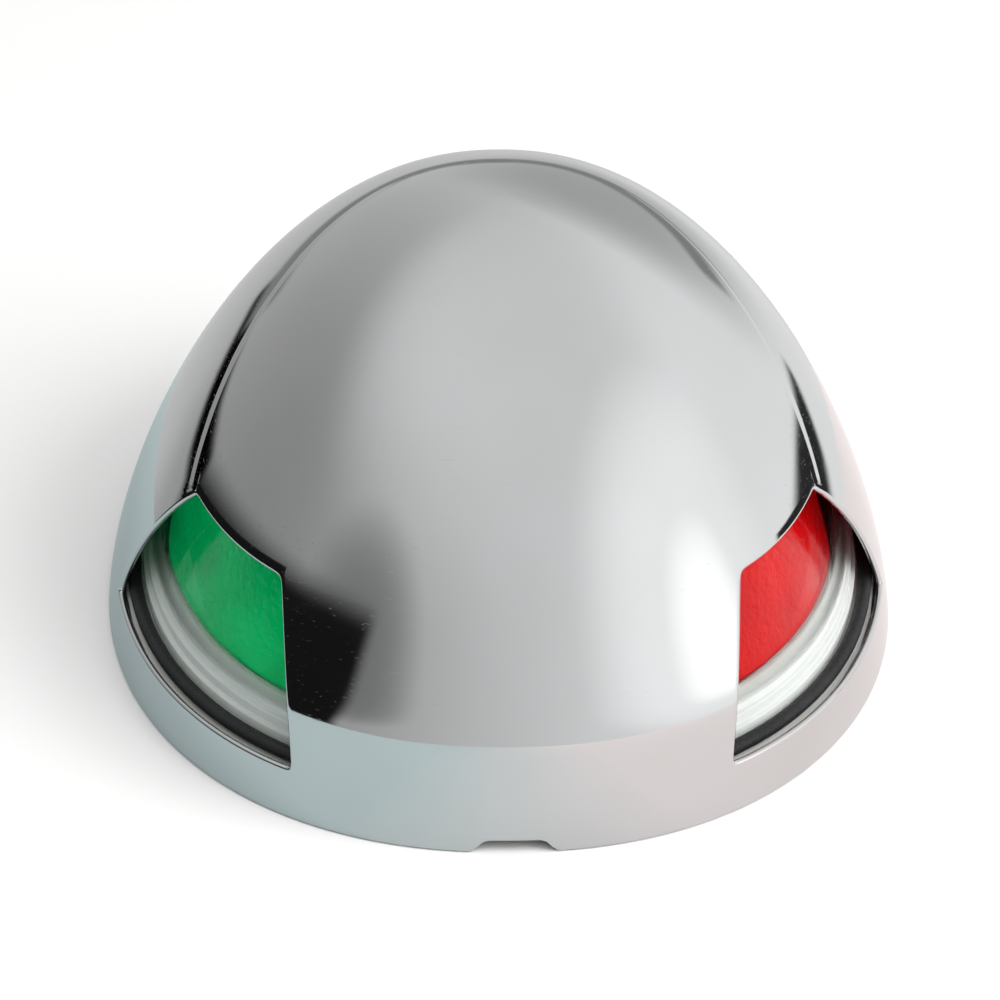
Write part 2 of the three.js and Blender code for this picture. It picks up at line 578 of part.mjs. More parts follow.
for (const [hand, side] of [['starboard', -1], ['port', 1]]) {
  addPiece(`reflector_${hand}`, reflector(side), 'brightAluminium');
  addPiece(`bulb_glass_${hand}`, bulbGlass(side), 'glass');
  addPiece(`bulb_filament_${hand}`, bulbFilament(side), 'tungsten');
  for (const [place, end] of [['fore', -1], ['aft', 1]]) {
    addPiece(`bulb_cap_${place}_${hand}`, bulbCap(side, end), 'springStainless');
    addPiece(`contact_${place}_${hand}`, contact(side, end), 'brass');
    addPiece(`contact_rivet_${place}_${hand}`, contactRivet(side, end), 'brass');
  }
}

export default light;
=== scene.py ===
"""Two-colour bow navigation light: its surfaces, materials, studio stage and camera.

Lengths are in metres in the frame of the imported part: +Z up, -Y forward, +X to port.
"""

import json
import math

import bmesh
import bpy
import numpy as np
from mathutils import Matrix, Vector


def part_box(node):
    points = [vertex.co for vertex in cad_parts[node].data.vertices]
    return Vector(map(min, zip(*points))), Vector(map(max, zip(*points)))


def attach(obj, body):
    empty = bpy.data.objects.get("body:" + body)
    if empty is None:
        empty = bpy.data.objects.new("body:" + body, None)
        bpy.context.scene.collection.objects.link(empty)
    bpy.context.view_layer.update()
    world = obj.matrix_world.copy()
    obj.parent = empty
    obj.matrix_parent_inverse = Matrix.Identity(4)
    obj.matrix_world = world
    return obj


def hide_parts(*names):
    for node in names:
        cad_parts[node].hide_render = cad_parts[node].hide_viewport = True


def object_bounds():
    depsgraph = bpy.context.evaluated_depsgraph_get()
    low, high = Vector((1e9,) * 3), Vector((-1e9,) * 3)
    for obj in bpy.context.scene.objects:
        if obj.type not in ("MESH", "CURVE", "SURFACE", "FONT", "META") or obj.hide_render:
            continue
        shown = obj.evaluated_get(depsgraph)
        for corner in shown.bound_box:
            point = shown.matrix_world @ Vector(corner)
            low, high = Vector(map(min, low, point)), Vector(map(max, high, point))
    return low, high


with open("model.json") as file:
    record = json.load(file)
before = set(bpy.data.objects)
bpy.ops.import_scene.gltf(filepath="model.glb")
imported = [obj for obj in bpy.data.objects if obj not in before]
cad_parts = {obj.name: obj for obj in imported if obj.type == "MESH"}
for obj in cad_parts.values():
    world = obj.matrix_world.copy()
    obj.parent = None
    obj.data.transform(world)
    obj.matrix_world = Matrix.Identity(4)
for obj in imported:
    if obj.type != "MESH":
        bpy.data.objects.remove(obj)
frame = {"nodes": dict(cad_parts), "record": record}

bl_info = {
    "name": "Bow Navigation Light",
    "version": (1, 0, 0),
    "blender": (4, 5, 0),
    "location": "View3D > Sidebar > Nav Light",
    "description": "Builds a two-colour bow navigation light and a plain studio round it",
    "category": "Add Mesh",
}

MM = 0.001
CAD_BOUNDS = [[float(value) for value in corner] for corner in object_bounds()]
HALF_WIDTH, HALF_LENGTH, HEIGHT = CAD_BOUNDS[1]
GAP = 0.3 * MM               # clearance between touching pieces
FOOT_LIFT = 0.25 * MM        # height of the half-round edge of the cover's foot
FLOOR_HEIGHT = -0.05 * MM    # the floor lies just under the gasket
HANDS = {"starboard": -1, "port": 1}
SHARP_EDGE = math.radians(32)    # a small fitting's edge is rounded where it turns more than this

# How far the edges of each small fitting are rounded.
FITTING_BEVELS = {
    "lens_screw": 0.1 * MM, "lens_screw_washer": 0.15 * MM, "base_moulding": 0.15 * MM,
    "base_gasket": 0.2 * MM, "cable_grommet": 0.25 * MM, "centre_screen": 0.15 * MM,
    "supply_strip": 0.06 * MM, "return_strip": 0.06 * MM,
    "supply_terminal_screw": 0.1 * MM, "return_terminal_screw": 0.1 * MM,
    **{f"cover_clip_{place}": 0.05 * MM for place in ("port", "starboard", "aft")},
    **{f"contact_{place}_{hand}": 0.08 * MM for hand in HANDS for place in ("fore", "aft")},
    **{f"contact_rivet_{place}_{hand}": 0.08 * MM for hand in HANDS
       for place in ("fore", "aft")},
}

SLOT_OF = {part["node"]: part["material_slot"] for part in frame["record"]["subparts"]}
BODY_OF = {node: body for body, nodes in frame["record"]["behaviour"]["bodies"].items()
           for node in nodes}

OUTLINE_POWER = 2.15         # a superellipse a little squarer than an ellipse
PROFILE_POWER = 1.4          # the dome rises as 1 - (z / height) ^ power
CREASE_SOFTNESS = 0.006      # share of the radius over which the crease is rounded
NOSE_ANGLE, NOSE_FADE = 0.6, 0.7    # half the angle of the whole nose, and how far it fades


# ---- Colour, nodes and mesh helpers --------------------------------------------------------

def linear(hex_colour):
    """An sRGB hex colour as linear RGBA."""
    parts = np.array([int(hex_colour[i:i + 2], 16) / 255 for i in (1, 3, 5)])
    low, high = parts / 12.92, ((parts + 0.055) / 1.055) ** 2.4
    return (*np.where(parts <= 0.04045, low, high).tolist(), 1.0)


def add_node(tree, kind, settings=None, links=None):
    """Adds a node. Settings name its properties or its inputs; links name the inputs that
    another node's output feeds. Inputs may also be given by number."""
    node = tree.nodes.new(kind)
    for key, value in (settings or {}).items():
        if isinstance(key, int) or key in node.inputs:
            node.inputs[key].default_value = value
        else:
            setattr(node, key, value)
    for key, output in (links or {}).items():
        tree.links.new(output, node.inputs[key])
    return node


def new_material(name, settings=None):
    """A material with only its output and a Principled shader with these settings."""
    material = bpy.data.materials.new(name)
    material.use_nodes = True
    tree = material.node_tree
    tree.nodes.clear()
    shader = add_node(tree, "ShaderNodeBsdfPrincipled", settings)
    add_node(tree, "ShaderNodeOutputMaterial", links={"Surface": shader.outputs["BSDF"]})
    return material, tree, shader


def noise(tree, size, detail=3.0, stretch=(1, 1, 1)):
    """Noise whose grains are about that many metres across, on Object coordinates."""
    where = add_node(tree, "ShaderNodeTexCoord").outputs["Object"]
    mapped = add_node(tree, "ShaderNodeMapping", {"Scale": stretch}, {"Vector": where})
    return add_node(tree, "ShaderNodeTexNoise", {"Scale": 1 / size, "Detail": detail},
                    {"Vector": mapped.outputs["Vector"]}).outputs["Fac"]


def spread(tree, value, low, high, start=0.3, end=0.7):
    """A value between start and end, carried to the range low to high."""
    return add_node(tree, "ShaderNodeMapRange", {
        "From Min": start, "From Max": end, "To Min": low, "To Max": high,
    }, {"Value": value}).outputs["Result"]


def eased_step(tree, value, start, end):
    """A smooth step from nought where a value is at start to one where it is at end."""
    return add_node(tree, "ShaderNodeMapRange", {
        "interpolation_type": "SMOOTHSTEP", "From Min": start, "From Max": end,
    }, {"Value": value}).outputs["Result"]


def tint(tree, value, dark, light):
    """A colour between dark and light, chosen by a value from 0 to 1."""
    ramp = add_node(tree, "ShaderNodeValToRGB", links={"Fac": value})
    for stop, colour, place in zip(ramp.color_ramp.elements, (dark, light), (0.3, 0.7)):
        stop.color = linear(colour)
        stop.position = place
    return ramp.outputs["Color"]


def bump(tree, shader, height, depth):
    """Feeds a height pattern to the shader's normal, that many metres deep."""
    bumped = add_node(tree, "ShaderNodeBump", {"Strength": 1.0, "Distance": depth},
                      {"Height": height})
    tree.links.new(bumped.outputs["Normal"], shader.inputs["Normal"])


def put_in_scene(name, mesh, node):
    """Links a finished mesh as a piece that stands for a CAD node: it rides on that node's
    body and has the material of that node's slot."""
    piece = bpy.data.objects.new(name, mesh)
    bpy.context.scene.collection.objects.link(piece)
    slot = SLOT_OF[node]
    mesh.materials.clear()
    mesh.materials.append(finish(slot))
    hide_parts(node)
    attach(piece, BODY_OF[node])
    return piece


def mesh_of(name, points, faces):
    """A smooth mesh from an array of points and lists of faces, with its faces turned out."""
    mesh = bpy.data.meshes.new(name)
    mesh.from_pydata(np.asarray(points).reshape(-1, 3).tolist(), [], faces)
    shape = bmesh.new()
    shape.from_mesh(mesh)
    bmesh.ops.recalc_face_normals(shape, faces=shape.faces)
    shape.to_mesh(mesh)
    shape.free()
    mesh.shade_smooth()
    return mesh


def numbered(points):
    """The vertex numbers of a grid of points."""
    rows, columns = points.shape[:2]
    return np.arange(rows * columns).reshape(rows, columns)


def sheet_faces(index):
    """Quads of a grid of vertex numbers."""
    return np.stack([index[:-1, :-1], index[:-1, 1:], index[1:, 1:], index[1:, :-1]],
                    axis=-1).reshape(-1, 4).tolist()


def walled_faces(index):
    """Quads of a closed section carried along a grid, with a wall across each of its two ends.
    The section's second half runs back over its first."""
    half = len(index) // 2
    faces = sheet_faces(wrapped(index, 0))
    for column in (0, -1):
        faces += sheet_faces(np.stack([index[:half, column], index[half:, column][::-1]]))
    return faces


def wrapped(index, axis):
    """A grid of vertex numbers with its first line repeated at the end along an axis."""
    return np.concatenate([index, np.take(index, [0], axis=axis)], axis=axis)


def smooth(value):
    """The smooth step 3u^2 - 2u^3 of a value held between 0 and 1."""
    held = np.clip(value, 0, 1)
    return held * held * (3 - 2 * held)


# ---- The oval and the dome -----------------------------------------------------------------

def dome_scale(z):
    """Width of the plain dome at height z as a share of its base: the square root of
    1 - (z / height) ^ 1.4."""
    return np.sqrt(np.clip(1 - (np.clip(z, 0, HEIGHT) / HEIGHT) ** PROFILE_POWER, 0, 1))


def oval(angle, half_width, half_length, z):
    """Points of a superellipse: x = a sin^(2/p), y = -b cos^(2/p), with the signs of the sine
    and cosine of the angle from dead ahead."""
    sine, cosine = np.sin(angle), np.cos(angle)
    x = half_width * np.sign(sine) * np.abs(sine) ** (2 / OUTLINE_POWER)
    y = -half_length * np.sign(cosine) * np.abs(cosine) ** (2 / OUTLINE_POWER)
    return np.stack(np.broadcast_arrays(x, y, z), axis=-1)


def round_profile(profile, angles):
    """A closed profile carried round the oval. Each row of the profile is [share of the dome's
    width, inset, height], and its half-axes are share * base - inset."""
    share, inset, z = (column[:, None] for column in np.asarray(profile, float).T)
    return oval(angles[None, :], share * HALF_WIDTH - inset, share * HALF_LENGTH - inset, z)


def dome_row(inset, z):
    """A profile row at a distance inside the plain dome."""
    return [float(dome_scale(z)), inset, z]


def full_turn(count):
    return np.linspace(0, 2 * np.pi, count, endpoint=False)


# ---- Cover ---------------------------------------------------------------------------------

def cover_surface(angle, z, sizes):
    """The pressed outside of the cover. Its width at height z is the plain dome's, widened
    round the nose to the lesser of an upright band and a nose that settles on the dome; the
    lesser is rounded as -s log(exp(-a / s) + exp(-b / s)). Then a valley is sunk on each side,
    steep against the plane y = slope z - offset and gentle out on the nose."""
    crease, softness = sizes.crease_height, CREASE_SOFTNESS
    from_ahead = np.abs(np.arctan2(np.sin(angle), np.cos(angle)))
    near_nose = 1 - smooth((from_ahead - NOSE_ANGLE) / NOSE_FADE)
    dome = dome_scale(z)
    band = 1 - sizes.band_taper * z / crease
    settle = (1 - sizes.band_taper - dome_scale(crease)) * np.exp((crease - z) / sizes.crease_fade)
    nose = dome + settle
    lesser = np.minimum(band, nose)
    rounded = lesser - softness * np.log1p(np.exp(-np.abs(band - nose) / softness))
    width = dome + near_nose * (rounded - dome)
    points = oval(angle, HALF_WIDTH * width, HALF_LENGTH * width, z)
    x, y = points[..., 0], points[..., 1]
    slope = sizes.valley_slope
    ahead = (slope * z - sizes.valley_offset - y) / math.hypot(1, slope)
    steep = smooth(ahead / sizes.valley_steep)
    gentle = 1 - smooth((ahead - sizes.valley_steep) / sizes.valley_wide)
    flat_middle, deepens_over, rises_over = 10 * MM, 18 * MM, 10 * MM
    share = (smooth((np.abs(x) - flat_middle) / deepens_over)
             * smooth((z - crease) / rises_over))
    depth = sizes.valley_depth * share * steep * gentle
    flattened = np.array([1, 1, 0.6])        # sinks it a little more sideways than down
    inwards = -points * flattened
    inwards /= np.linalg.norm(inwards, axis=-1, keepdims=True) + 1e-12
    return points + inwards * depth[..., None]


def cover_normal(angle, z, sizes):
    """The outward normal, from the surface's slopes a small step either way."""
    turn, rise = 0.002, 0.02 * MM
    low = np.maximum(z - rise, 0)
    around = cover_surface(angle + turn, z, sizes) - cover_surface(angle - turn, z, sizes)
    upward = cover_surface(angle, low + 2 * rise, sizes) - cover_surface(angle, low, sizes)
    normal = np.cross(around, upward)
    return normal / (np.linalg.norm(normal, axis=-1, keepdims=True) + 1e-15)


def window_aft_y(z, sizes):
    """The window's bowed aft edge: a parabola through its low, middle and high points."""
    low, mid, high = sizes.window_aft
    t = (z - sizes.window_bottom) / (sizes.window_top - sizes.window_bottom)
    bow = 4 * (mid - (low + high) / 2)
    return low + (high - low) * t + bow * t * (1 - t)


def window_angles(z, sizes):
    """Angles of the window's inner and aft edges at each height, found by halving. Above the
    window the aft line follows the ridge beside the valley."""
    beside = np.clip(z, sizes.window_bottom, sizes.window_top)
    share = (beside - sizes.window_bottom) / (sizes.window_top - sizes.window_bottom)
    inner_low, inner_high = sizes.window_inner
    inner_x = inner_low + (inner_high - inner_low) * share
    aft_y = window_aft_y(beside, sizes) + sizes.valley_slope * (z - beside)
    aft_y = np.minimum(aft_y, HALF_LENGTH / 2 * dome_scale(z))
    found = []
    for coordinate, wanted, furthest in ((0, inner_x, np.pi / 2), (1, aft_y, np.pi)):
        low, high = np.full_like(z, 0.05), np.full_like(z, furthest)
        for _ in range(40):
            middle = (low + high) / 2
            reached = cover_surface(middle, z if coordinate else beside, sizes)
            is_short = reached[..., coordinate] < wanted
            low, high = np.where(is_short, middle, low), np.where(is_short, high, middle)
        found.append((low + high) / 2)
    return found


def shares(count, near_start, near_end):
    """Shares from 0 to 1 in equal steps, with one more line near each end that is asked for."""
    even = np.linspace(0, 1, count + 1)
    extra = [0.5 / count] * near_start + [1 - 0.5 / count] * near_end
    return np.sort(np.concatenate([even, extra]))


def eased_edge(angle, z, edge, reach):
    """Each point of a closed edge moved to the average of its neighbours, weighted by
    exp(-(distance along the edge / reach)^2), which rounds the corners."""
    gaps = np.linalg.norm(np.roll(edge, -1, axis=0) - edge, axis=-1)
    along = np.concatenate([[0], np.cumsum(gaps)[:-1]])
    apart = np.abs(along[:, None] - along[None, :])
    apart = np.minimum(apart, gaps.sum() - apart)
    weight = np.exp(-(apart / reach) ** 2) * (gaps + np.roll(gaps, 1))[None, :]
    weight /= weight.sum(axis=1, keepdims=True)
    return weight @ angle, weight @ z


def cover_grid(sizes):
    """Angles and heights of a grid whose lines run along the window edges, and the first and
    last row and column of the window on the +X side."""
    bottom, top = sizes.window_bottom, sizes.window_top
    band = FOOT_LIFT + (bottom - FOOT_LIFT) * shares(10, True, True)
    middle = bottom + (top - bottom) * shares(38, True, True)
    rise = np.linspace(math.asin((top / HEIGHT) ** (PROFILE_POWER / 2)), np.pi / 2, 62)[1:-1]
    heights = np.concatenate([band, middle[1:], HEIGHT * np.sin(rise) ** (2 / PROFILE_POWER)])
    inner, aft = (found[:, None] for found in window_angles(heights, sizes))
    ahead, across = shares(42, False, True), shares(36, True, True)
    behind = np.linspace(0, 1, 97) ** 2         # close together by the ridge
    half = np.concatenate([inner * ahead[:-1], inner + (aft - inner) * across[:-1],
                           aft + (np.pi - aft) * behind], axis=1)
    angle = np.concatenate([half, -half[:, -2:0:-1]], axis=1)
    z = np.repeat(heights[:, None], angle.shape[1], axis=1)
    notch_x = np.abs(oval(angle[0], HALF_WIDTH, HALF_LENGTH, 0)[:, 0])
    slope = (sizes.notch_wide - sizes.notch_narrow) / 2
    raised = np.clip((sizes.notch_wide / 2 - notch_x) / slope, 0, 1) * (np.cos(angle[0]) > 0)
    z = z + sizes.notch_high * raised * np.clip(1 - z / bottom, 0, 1)
    rows = (len(band) - 1, len(band) + len(middle) - 2)
    columns = (len(ahead) - 1, len(ahead) + len(across) - 2)
    return angle, z, rows, columns


def window_edge(rows, columns, count, is_mirrored):
    """Rows and columns of the points round one window, in order."""
    (low, high), (near, far) = rows, columns
    across, upward = np.arange(near, far), np.arange(low, high)
    row = np.concatenate([np.full(far - near, low), upward,
                          np.full(far - near, high), upward[::-1] + 1])
    column = np.concatenate([across, np.full(high - low, far), across[::-1] + 1,
                             np.full(high - low, near)])
    return row, (count - column) % count if is_mirrored else column


def lip(edge, under, outwards, bulge, count=7):
    """A half-round strip from an edge to the edge under it, bulging outwards: the middle plus
    half the gap times the cosine plus the bulge times the sine."""
    turn = np.linspace(0, np.pi, count + 2)[1:-1, None, None]
    middle, arm = (edge + under) / 2, (edge - under) / 2
    return middle + arm * np.cos(turn) + outwards * bulge * np.sin(turn)


def cover_mesh(sizes):
    """The pressed sheet: its outside, an inside one thickness in along the normals, and
    half-round lips round both windows and the foot."""
    angle, z, rows, columns = cover_grid(sizes)
    height, count = angle.shape
    edges = [window_edge(rows, columns, count, is_mirrored) for is_mirrored in (False, True)]
    for edge in edges:
        points = cover_surface(angle[edge], z[edge], sizes)
        angle[edge], z[edge] = eased_edge(angle[edge], z[edge], points, sizes.window_corner)
    outside = cover_surface(angle, z, sizes)
    normal = cover_normal(angle, z, sizes)
    inside = outside - normal * sizes.sheet
    inside[0, :, 2] = outside[0, :, 2]

    number = numbered(angle)
    below = number.size
    is_open = np.zeros((height - 1, count), bool)
    is_open[rows[0]:rows[1], columns[0]:columns[1]] = True
    is_open |= is_open[:, ::-1]
    looped = wrapped(number, 1)
    quads = np.stack([looped[:-1, :-1], looped[:-1, 1:], looped[1:, 1:], looped[1:, :-1]],
                     axis=-1)[~is_open]
    top = looped[-1]
    crown = np.stack([top[:-1], top[1:]], axis=-1)
    pole = np.full((count, 1), 2 * below)
    faces = (quads.tolist() + (quads + below).tolist()
             + np.hstack([crown, pole]).tolist() + np.hstack([crown + below, pole + 1]).tolist())
    parts = [outside.reshape(-1, 3), inside.reshape(-1, 3),
             np.array([[0, 0, HEIGHT], [0, 0, HEIGHT - sizes.sheet]])]
    used = 2 * below + 2

    foot = (np.zeros(count, int), np.arange(count))
    for edge in [*edges, foot]:
        rim = outside[edge]
        if edge is foot:
            outwards, bulge = np.array([0, 0, -1.0]), FOOT_LIFT
        else:
            along = np.roll(rim, -1, axis=0) - np.roll(rim, 1, axis=0)
            outwards = np.cross(normal[edge], along)
            outwards /= np.linalg.norm(outwards, axis=-1, keepdims=True)
            outwards *= np.sign(np.sum((rim.mean(axis=0) - rim) * outwards))
            bulge = sizes.sheet / 2
        strip = lip(rim, inside[edge], outwards, bulge)
        between = used + numbered(strip)
        used += between.size
        parts.append(strip.reshape(-1, 3))
        faces += sheet_faces(wrapped(np.concatenate(
            [number[edge][None], between, number[edge][None] + below]), 1))
    return mesh_of("cover", np.concatenate(parts), faces)


# ---- Lens, filters and seal ----------------------------------------------------------------

def softened(rows, radius, steps=4):
    """A closed profile whose corners are each replaced by a parabola that starts and ends at
    the radius from the corner, or at half of a shorter side."""
    rows = np.asarray(rows, float)
    flat = np.stack([rows[:, 0] * HALF_WIDTH - rows[:, 1], rows[:, 2]], axis=-1)
    t = np.linspace(0, 1, steps + 1)[None, :, None]
    found = []
    for step in (1, -1):
        length = np.linalg.norm(np.roll(flat, step, axis=0) - flat, axis=-1, keepdims=True)
        share = np.minimum(radius / np.maximum(length, 1e-9), 0.5)
        found.append(rows + (np.roll(rows, step, axis=0) - rows) * share)
    before, after = (point[:, None, :] for point in found)
    corner = rows[:, None, :]
    return ((1 - t) ** 2 * before + 2 * t * (1 - t) * corner + t ** 2 * after).reshape(-1, 3)


def lens_mesh(sizes):
    """The lens: a closed profile carried round the oval, with a roof drawn in to the hole for
    the clamping screw by mixing the roof's ring with a circle."""
    outer, inner = sizes.lens_inset, sizes.lens_inset + sizes.lens_wall
    step_insets = (4.5 * MM, 5.1 * MM, 5.7 * MM)
    step_heights = (sizes.lens_bottom, 7.4 * MM, 8.7 * MM, 10 * MM)
    foot = [[1, inset, z] for step, inset in enumerate(step_insets)
            for z in step_heights[step:step + 2]]
    wall = [dome_row(outer, z)
            for z in np.linspace(step_heights[-1], sizes.lens_roof - 2 * MM, 30)]
    shoulder = [dome_row(outer + 1 * MM, sizes.lens_roof - 0.6 * MM),
                dome_row(outer + 3 * MM, sizes.lens_roof)]
    under = sizes.lens_roof - sizes.lens_wall
    lining = [dome_row(inner, z) for z in np.linspace(under, sizes.lens_bottom, 36)]
    angles = full_turn(220)
    rising = round_profile(softened([lining[-1], *foot, wall[0]], 0.2 * MM)[5:-5], angles)
    sides = round_profile([*wall[1:], *shoulder], angles)
    inside = round_profile(lining, angles)
    hole = np.stack([sizes.pillar_bore * np.sin(angles),
                     sizes.pillar_y - sizes.pillar_bore * np.cos(angles)], axis=-1)
    share = np.linspace(0, 1, 8)[1:, None, None]
    roof = sides[-1][None, :, :2] * (1 - share) + hole[None] * share
    tiers = [np.concatenate([roof, np.full((*roof.shape[:2], 1), sizes.lens_roof)], axis=-1)]
    ceiling = inside[0][None, :, :2] * (1 - share) + hole[None] * share
    tiers.append(np.concatenate([ceiling, np.full((*ceiling.shape[:2], 1), under)],
                                axis=-1)[::-1])
    points = np.concatenate([rising, sides, *tiers, inside])
    number = numbered(points)
    return mesh_of("clear_lens", points, sheet_faces(wrapped(wrapped(number, 0), 1)))


def filter_mesh(name, side, sizes):
    """One filter: a band between two copies of the dome, from the plane x = split to the plane
    y = aft. Each row's first and last angle are where its oval meets those planes."""
    outer = sizes.lens_inset + sizes.lens_wall + GAP
    inner = outer + sizes.filter_wall
    z = np.linspace(sizes.filter_bottom, sizes.filter_top, 56)
    rows = np.array([dome_row(outer, level) for level in z]
                    + [dome_row(inner, level) for level in z[::-1]])
    half_x, half_y = rows[:, 0] * HALF_WIDTH - rows[:, 1], rows[:, 0] * HALF_LENGTH - rows[:, 1]
    first = np.arcsin((sizes.filter_split / half_x) ** (OUTLINE_POWER / 2))
    last = np.pi - np.arccos(np.minimum(sizes.filter_aft / half_y, 1) ** (OUTLINE_POWER / 2))
    angle = first[:, None] + (last - first)[:, None] * np.linspace(0, 1, 110)[None, :]
    points = oval(angle, half_x[:, None], half_y[:, None], rows[:, 2][:, None])
    points[..., 0] *= side
    return mesh_of(name, points, walled_faces(numbered(points)))


def ring_mesh(name, inset, z, radius):
    """A round cord carried round the oval."""
    turn = full_turn(20)
    profile = np.stack([np.ones_like(turn), inset - radius * np.cos(turn),
                        z + radius * np.sin(turn)], axis=-1)
    points = round_profile(profile, full_turn(240))
    number = numbered(points)
    return mesh_of(name, points, sheet_faces(wrapped(wrapped(number, 0), 1)))


# ---- Bulbs and reflectors ------------------------------------------------------------------

def turned_along_y(name, profile, centre, count=48):
    """A closed profile of [radius, distance along Y] turned about the Y axis through a
    centre. A point of radius 0 gives a ring of no size, which is then merged."""
    radius, along = np.asarray(profile, float).T
    turn = full_turn(count)
    points = np.stack([centre[0] + radius[:, None] * np.cos(turn),
                       np.repeat(centre[1] + along[:, None], count, axis=1),
                       centre[2] + radius[:, None] * np.sin(turn)], axis=-1)
    number = numbered(points)
    return merged(mesh_of(name, points, sheet_faces(wrapped(wrapped(number, 0), 1))))


def merged(mesh, distance=1e-6):
    """The mesh with its doubled points merged and its faces turned out."""
    shape = bmesh.new()
    shape.from_mesh(mesh)
    bmesh.ops.remove_doubles(shape, verts=shape.verts, dist=distance)
    bmesh.ops.recalc_face_normals(shape, faces=shape.faces)
    shape.to_mesh(mesh)
    shape.free()
    return mesh


def bulb_glass_mesh(name, centre, sizes):
    """A blown tube that closes in at each end by a quarter of a cosine."""
    half, radius, wall = sizes.bulb_half, sizes.bulb_radius, 0.6 * MM
    shoulder, drawn_in = 2.5 * MM, 0.7 * MM
    turn = np.linspace(0, np.pi / 2, 10)
    closing = half - shoulder + shoulder * np.sin(turn)
    narrowing = radius - drawn_in * (1 - np.cos(turn))
    end = np.stack([narrowing, closing], axis=-1)
    outside = np.concatenate([end[::-1] * [1, -1], end])
    inside = outside[::-1] - [wall, 0]
    return turned_along_y(name, np.concatenate([outside, inside]), centre)


def bulb_cap_mesh(name, centre, end, sizes):
    """A cup over the glass, an S-shaped cone and a domed nib."""
    half = sizes.bulb_half
    share = np.linspace(0, 1, 9)
    nib, cup, wall = 1.4 * MM, 4.9 * MM, 0.35 * MM
    neck, cone_length = half + 1.5 * MM, 3 * MM
    shank, dome = half + 6.2 * MM, 0.8 * MM
    cone = np.stack([nib + (cup - nib) * (1 - smooth(share)),
                     neck + cone_length * share], axis=-1)
    turn = np.linspace(0, np.pi / 2, 6)
    tip = np.stack([nib * np.cos(turn), shank + dome * np.sin(turn)], axis=-1)
    lining, rim = cup - wall, half - 2.7 * MM
    profile = np.concatenate([
        [[0, half + GAP], [lining, half + GAP], [lining, rim],
         [cup - 0.1 * MM, rim], [cup, rim + 0.15 * MM]], cone, tip])
    return turned_along_y(name, profile * [1, end], centre)


def tube_along(path, radius, sides=8):
    """Rings of a tube: a frame at each point from its direction and a leaning axis that the
    path never follows."""
    leaning = [0.31, 0.11, 0.94]
    ahead = np.gradient(path, axis=0)
    ahead /= np.linalg.norm(ahead, axis=-1, keepdims=True)
    across = np.cross(ahead, leaning)
    across /= np.linalg.norm(across, axis=-1, keepdims=True)
    over = np.cross(across, ahead)
    turn = full_turn(sides)[None, :, None]
    return path[:, None] + radius * (across[:, None] * np.cos(turn) + over[:, None] * np.sin(turn))


def filament_mesh(name, centre, sizes):
    """A coiled wire: a helix about Y whose middle sags by a cosine, with straight ends."""
    reach, turns, coil_radius = sizes.bulb_half - 0.5 * MM, 60, 0.17 * MM
    sag, wire_radius = 0.5 * MM, 0.06 * MM
    share = np.linspace(-1, 1, 900)
    coil_end, coil_fade = 0.82, 0.06
    coiled = np.clip((coil_end - np.abs(share)) / coil_fade, 0, 1)
    turn = np.pi * turns * share
    size = coil_radius * coiled
    path = np.stack([centre[0] + size * np.cos(turn), centre[1] + reach * share,
                     centre[2] - sag * np.cos(np.pi * share / 2) + size * np.sin(turn)],
                    axis=-1)
    points = tube_along(path, wire_radius, 6)
    number = numbered(points)
    faces = sheet_faces(wrapped(number, 1)) + [number[0].tolist(), number[-1].tolist()]
    return mesh_of(name, points, faces)


def reflector_mesh(name, side, centre, sizes):
    """A sheet bent to an arc about the bulb's axis and then straight down to the floor,
    carried along Y and given its thickness along the arc's radius."""
    turn = np.linspace(0.69 * np.pi, 1.39 * np.pi, 60)
    thick, bend = 0.6 * MM, 10 * MM
    arc = bend * np.stack([np.cos(turn), np.sin(turn)], axis=-1)
    outer = arc * (1 + thick / bend)
    floor = sizes.base_floor + GAP - centre[2]
    leg = np.stack([np.full(6, arc[-1, 0]), np.linspace(arc[-1, 1], floor, 7)[1:]], axis=-1)
    inside = np.concatenate([arc, leg])
    outside = np.concatenate([outer, leg - [thick, 0]])
    section = np.concatenate([inside, outside[::-1]])
    along = np.linspace(-sizes.bulb_half, sizes.bulb_half, 24)
    points = np.stack(np.broadcast_arrays(
        side * (abs(centre[0]) + section[:, None, 0]), centre[1] + along[None, :],
        centre[2] + section[:, None, 1]), axis=-1)
    mesh = mesh_of(name, points, walled_faces(numbered(points)))
    mesh.set_sharp_from_angle(angle=math.radians(40))
    return mesh


# ---- Small fittings ------------------------------------------------------------------------

def eased_copy(node, bevel):
    """A copy of a CAD node's mesh, merged, with its flat faces made whole and its edges
    rounded by a bevel."""
    mesh = merged(frame["nodes"][node].data.copy(), 1e-5)
    shape = bmesh.new()
    shape.from_mesh(mesh)
    bmesh.ops.dissolve_limit(shape, angle_limit=math.radians(1), verts=shape.verts,
                             edges=shape.edges)
    shape.to_mesh(mesh)
    shape.free()
    mesh.shade_smooth()
    mesh.set_sharp_from_angle(angle=SHARP_EDGE)
    piece = put_in_scene(f"{node}_eased", mesh, node)
    rounding = piece.modifiers.new("rounded edges", "BEVEL")
    rounding.width = bevel
    rounding.segments = 2
    rounding.limit_method = "ANGLE"
    rounding.angle_limit = SHARP_EDGE
    rounding.harden_normals = True
    return piece


# ---- Materials -----------------------------------------------------------------------------

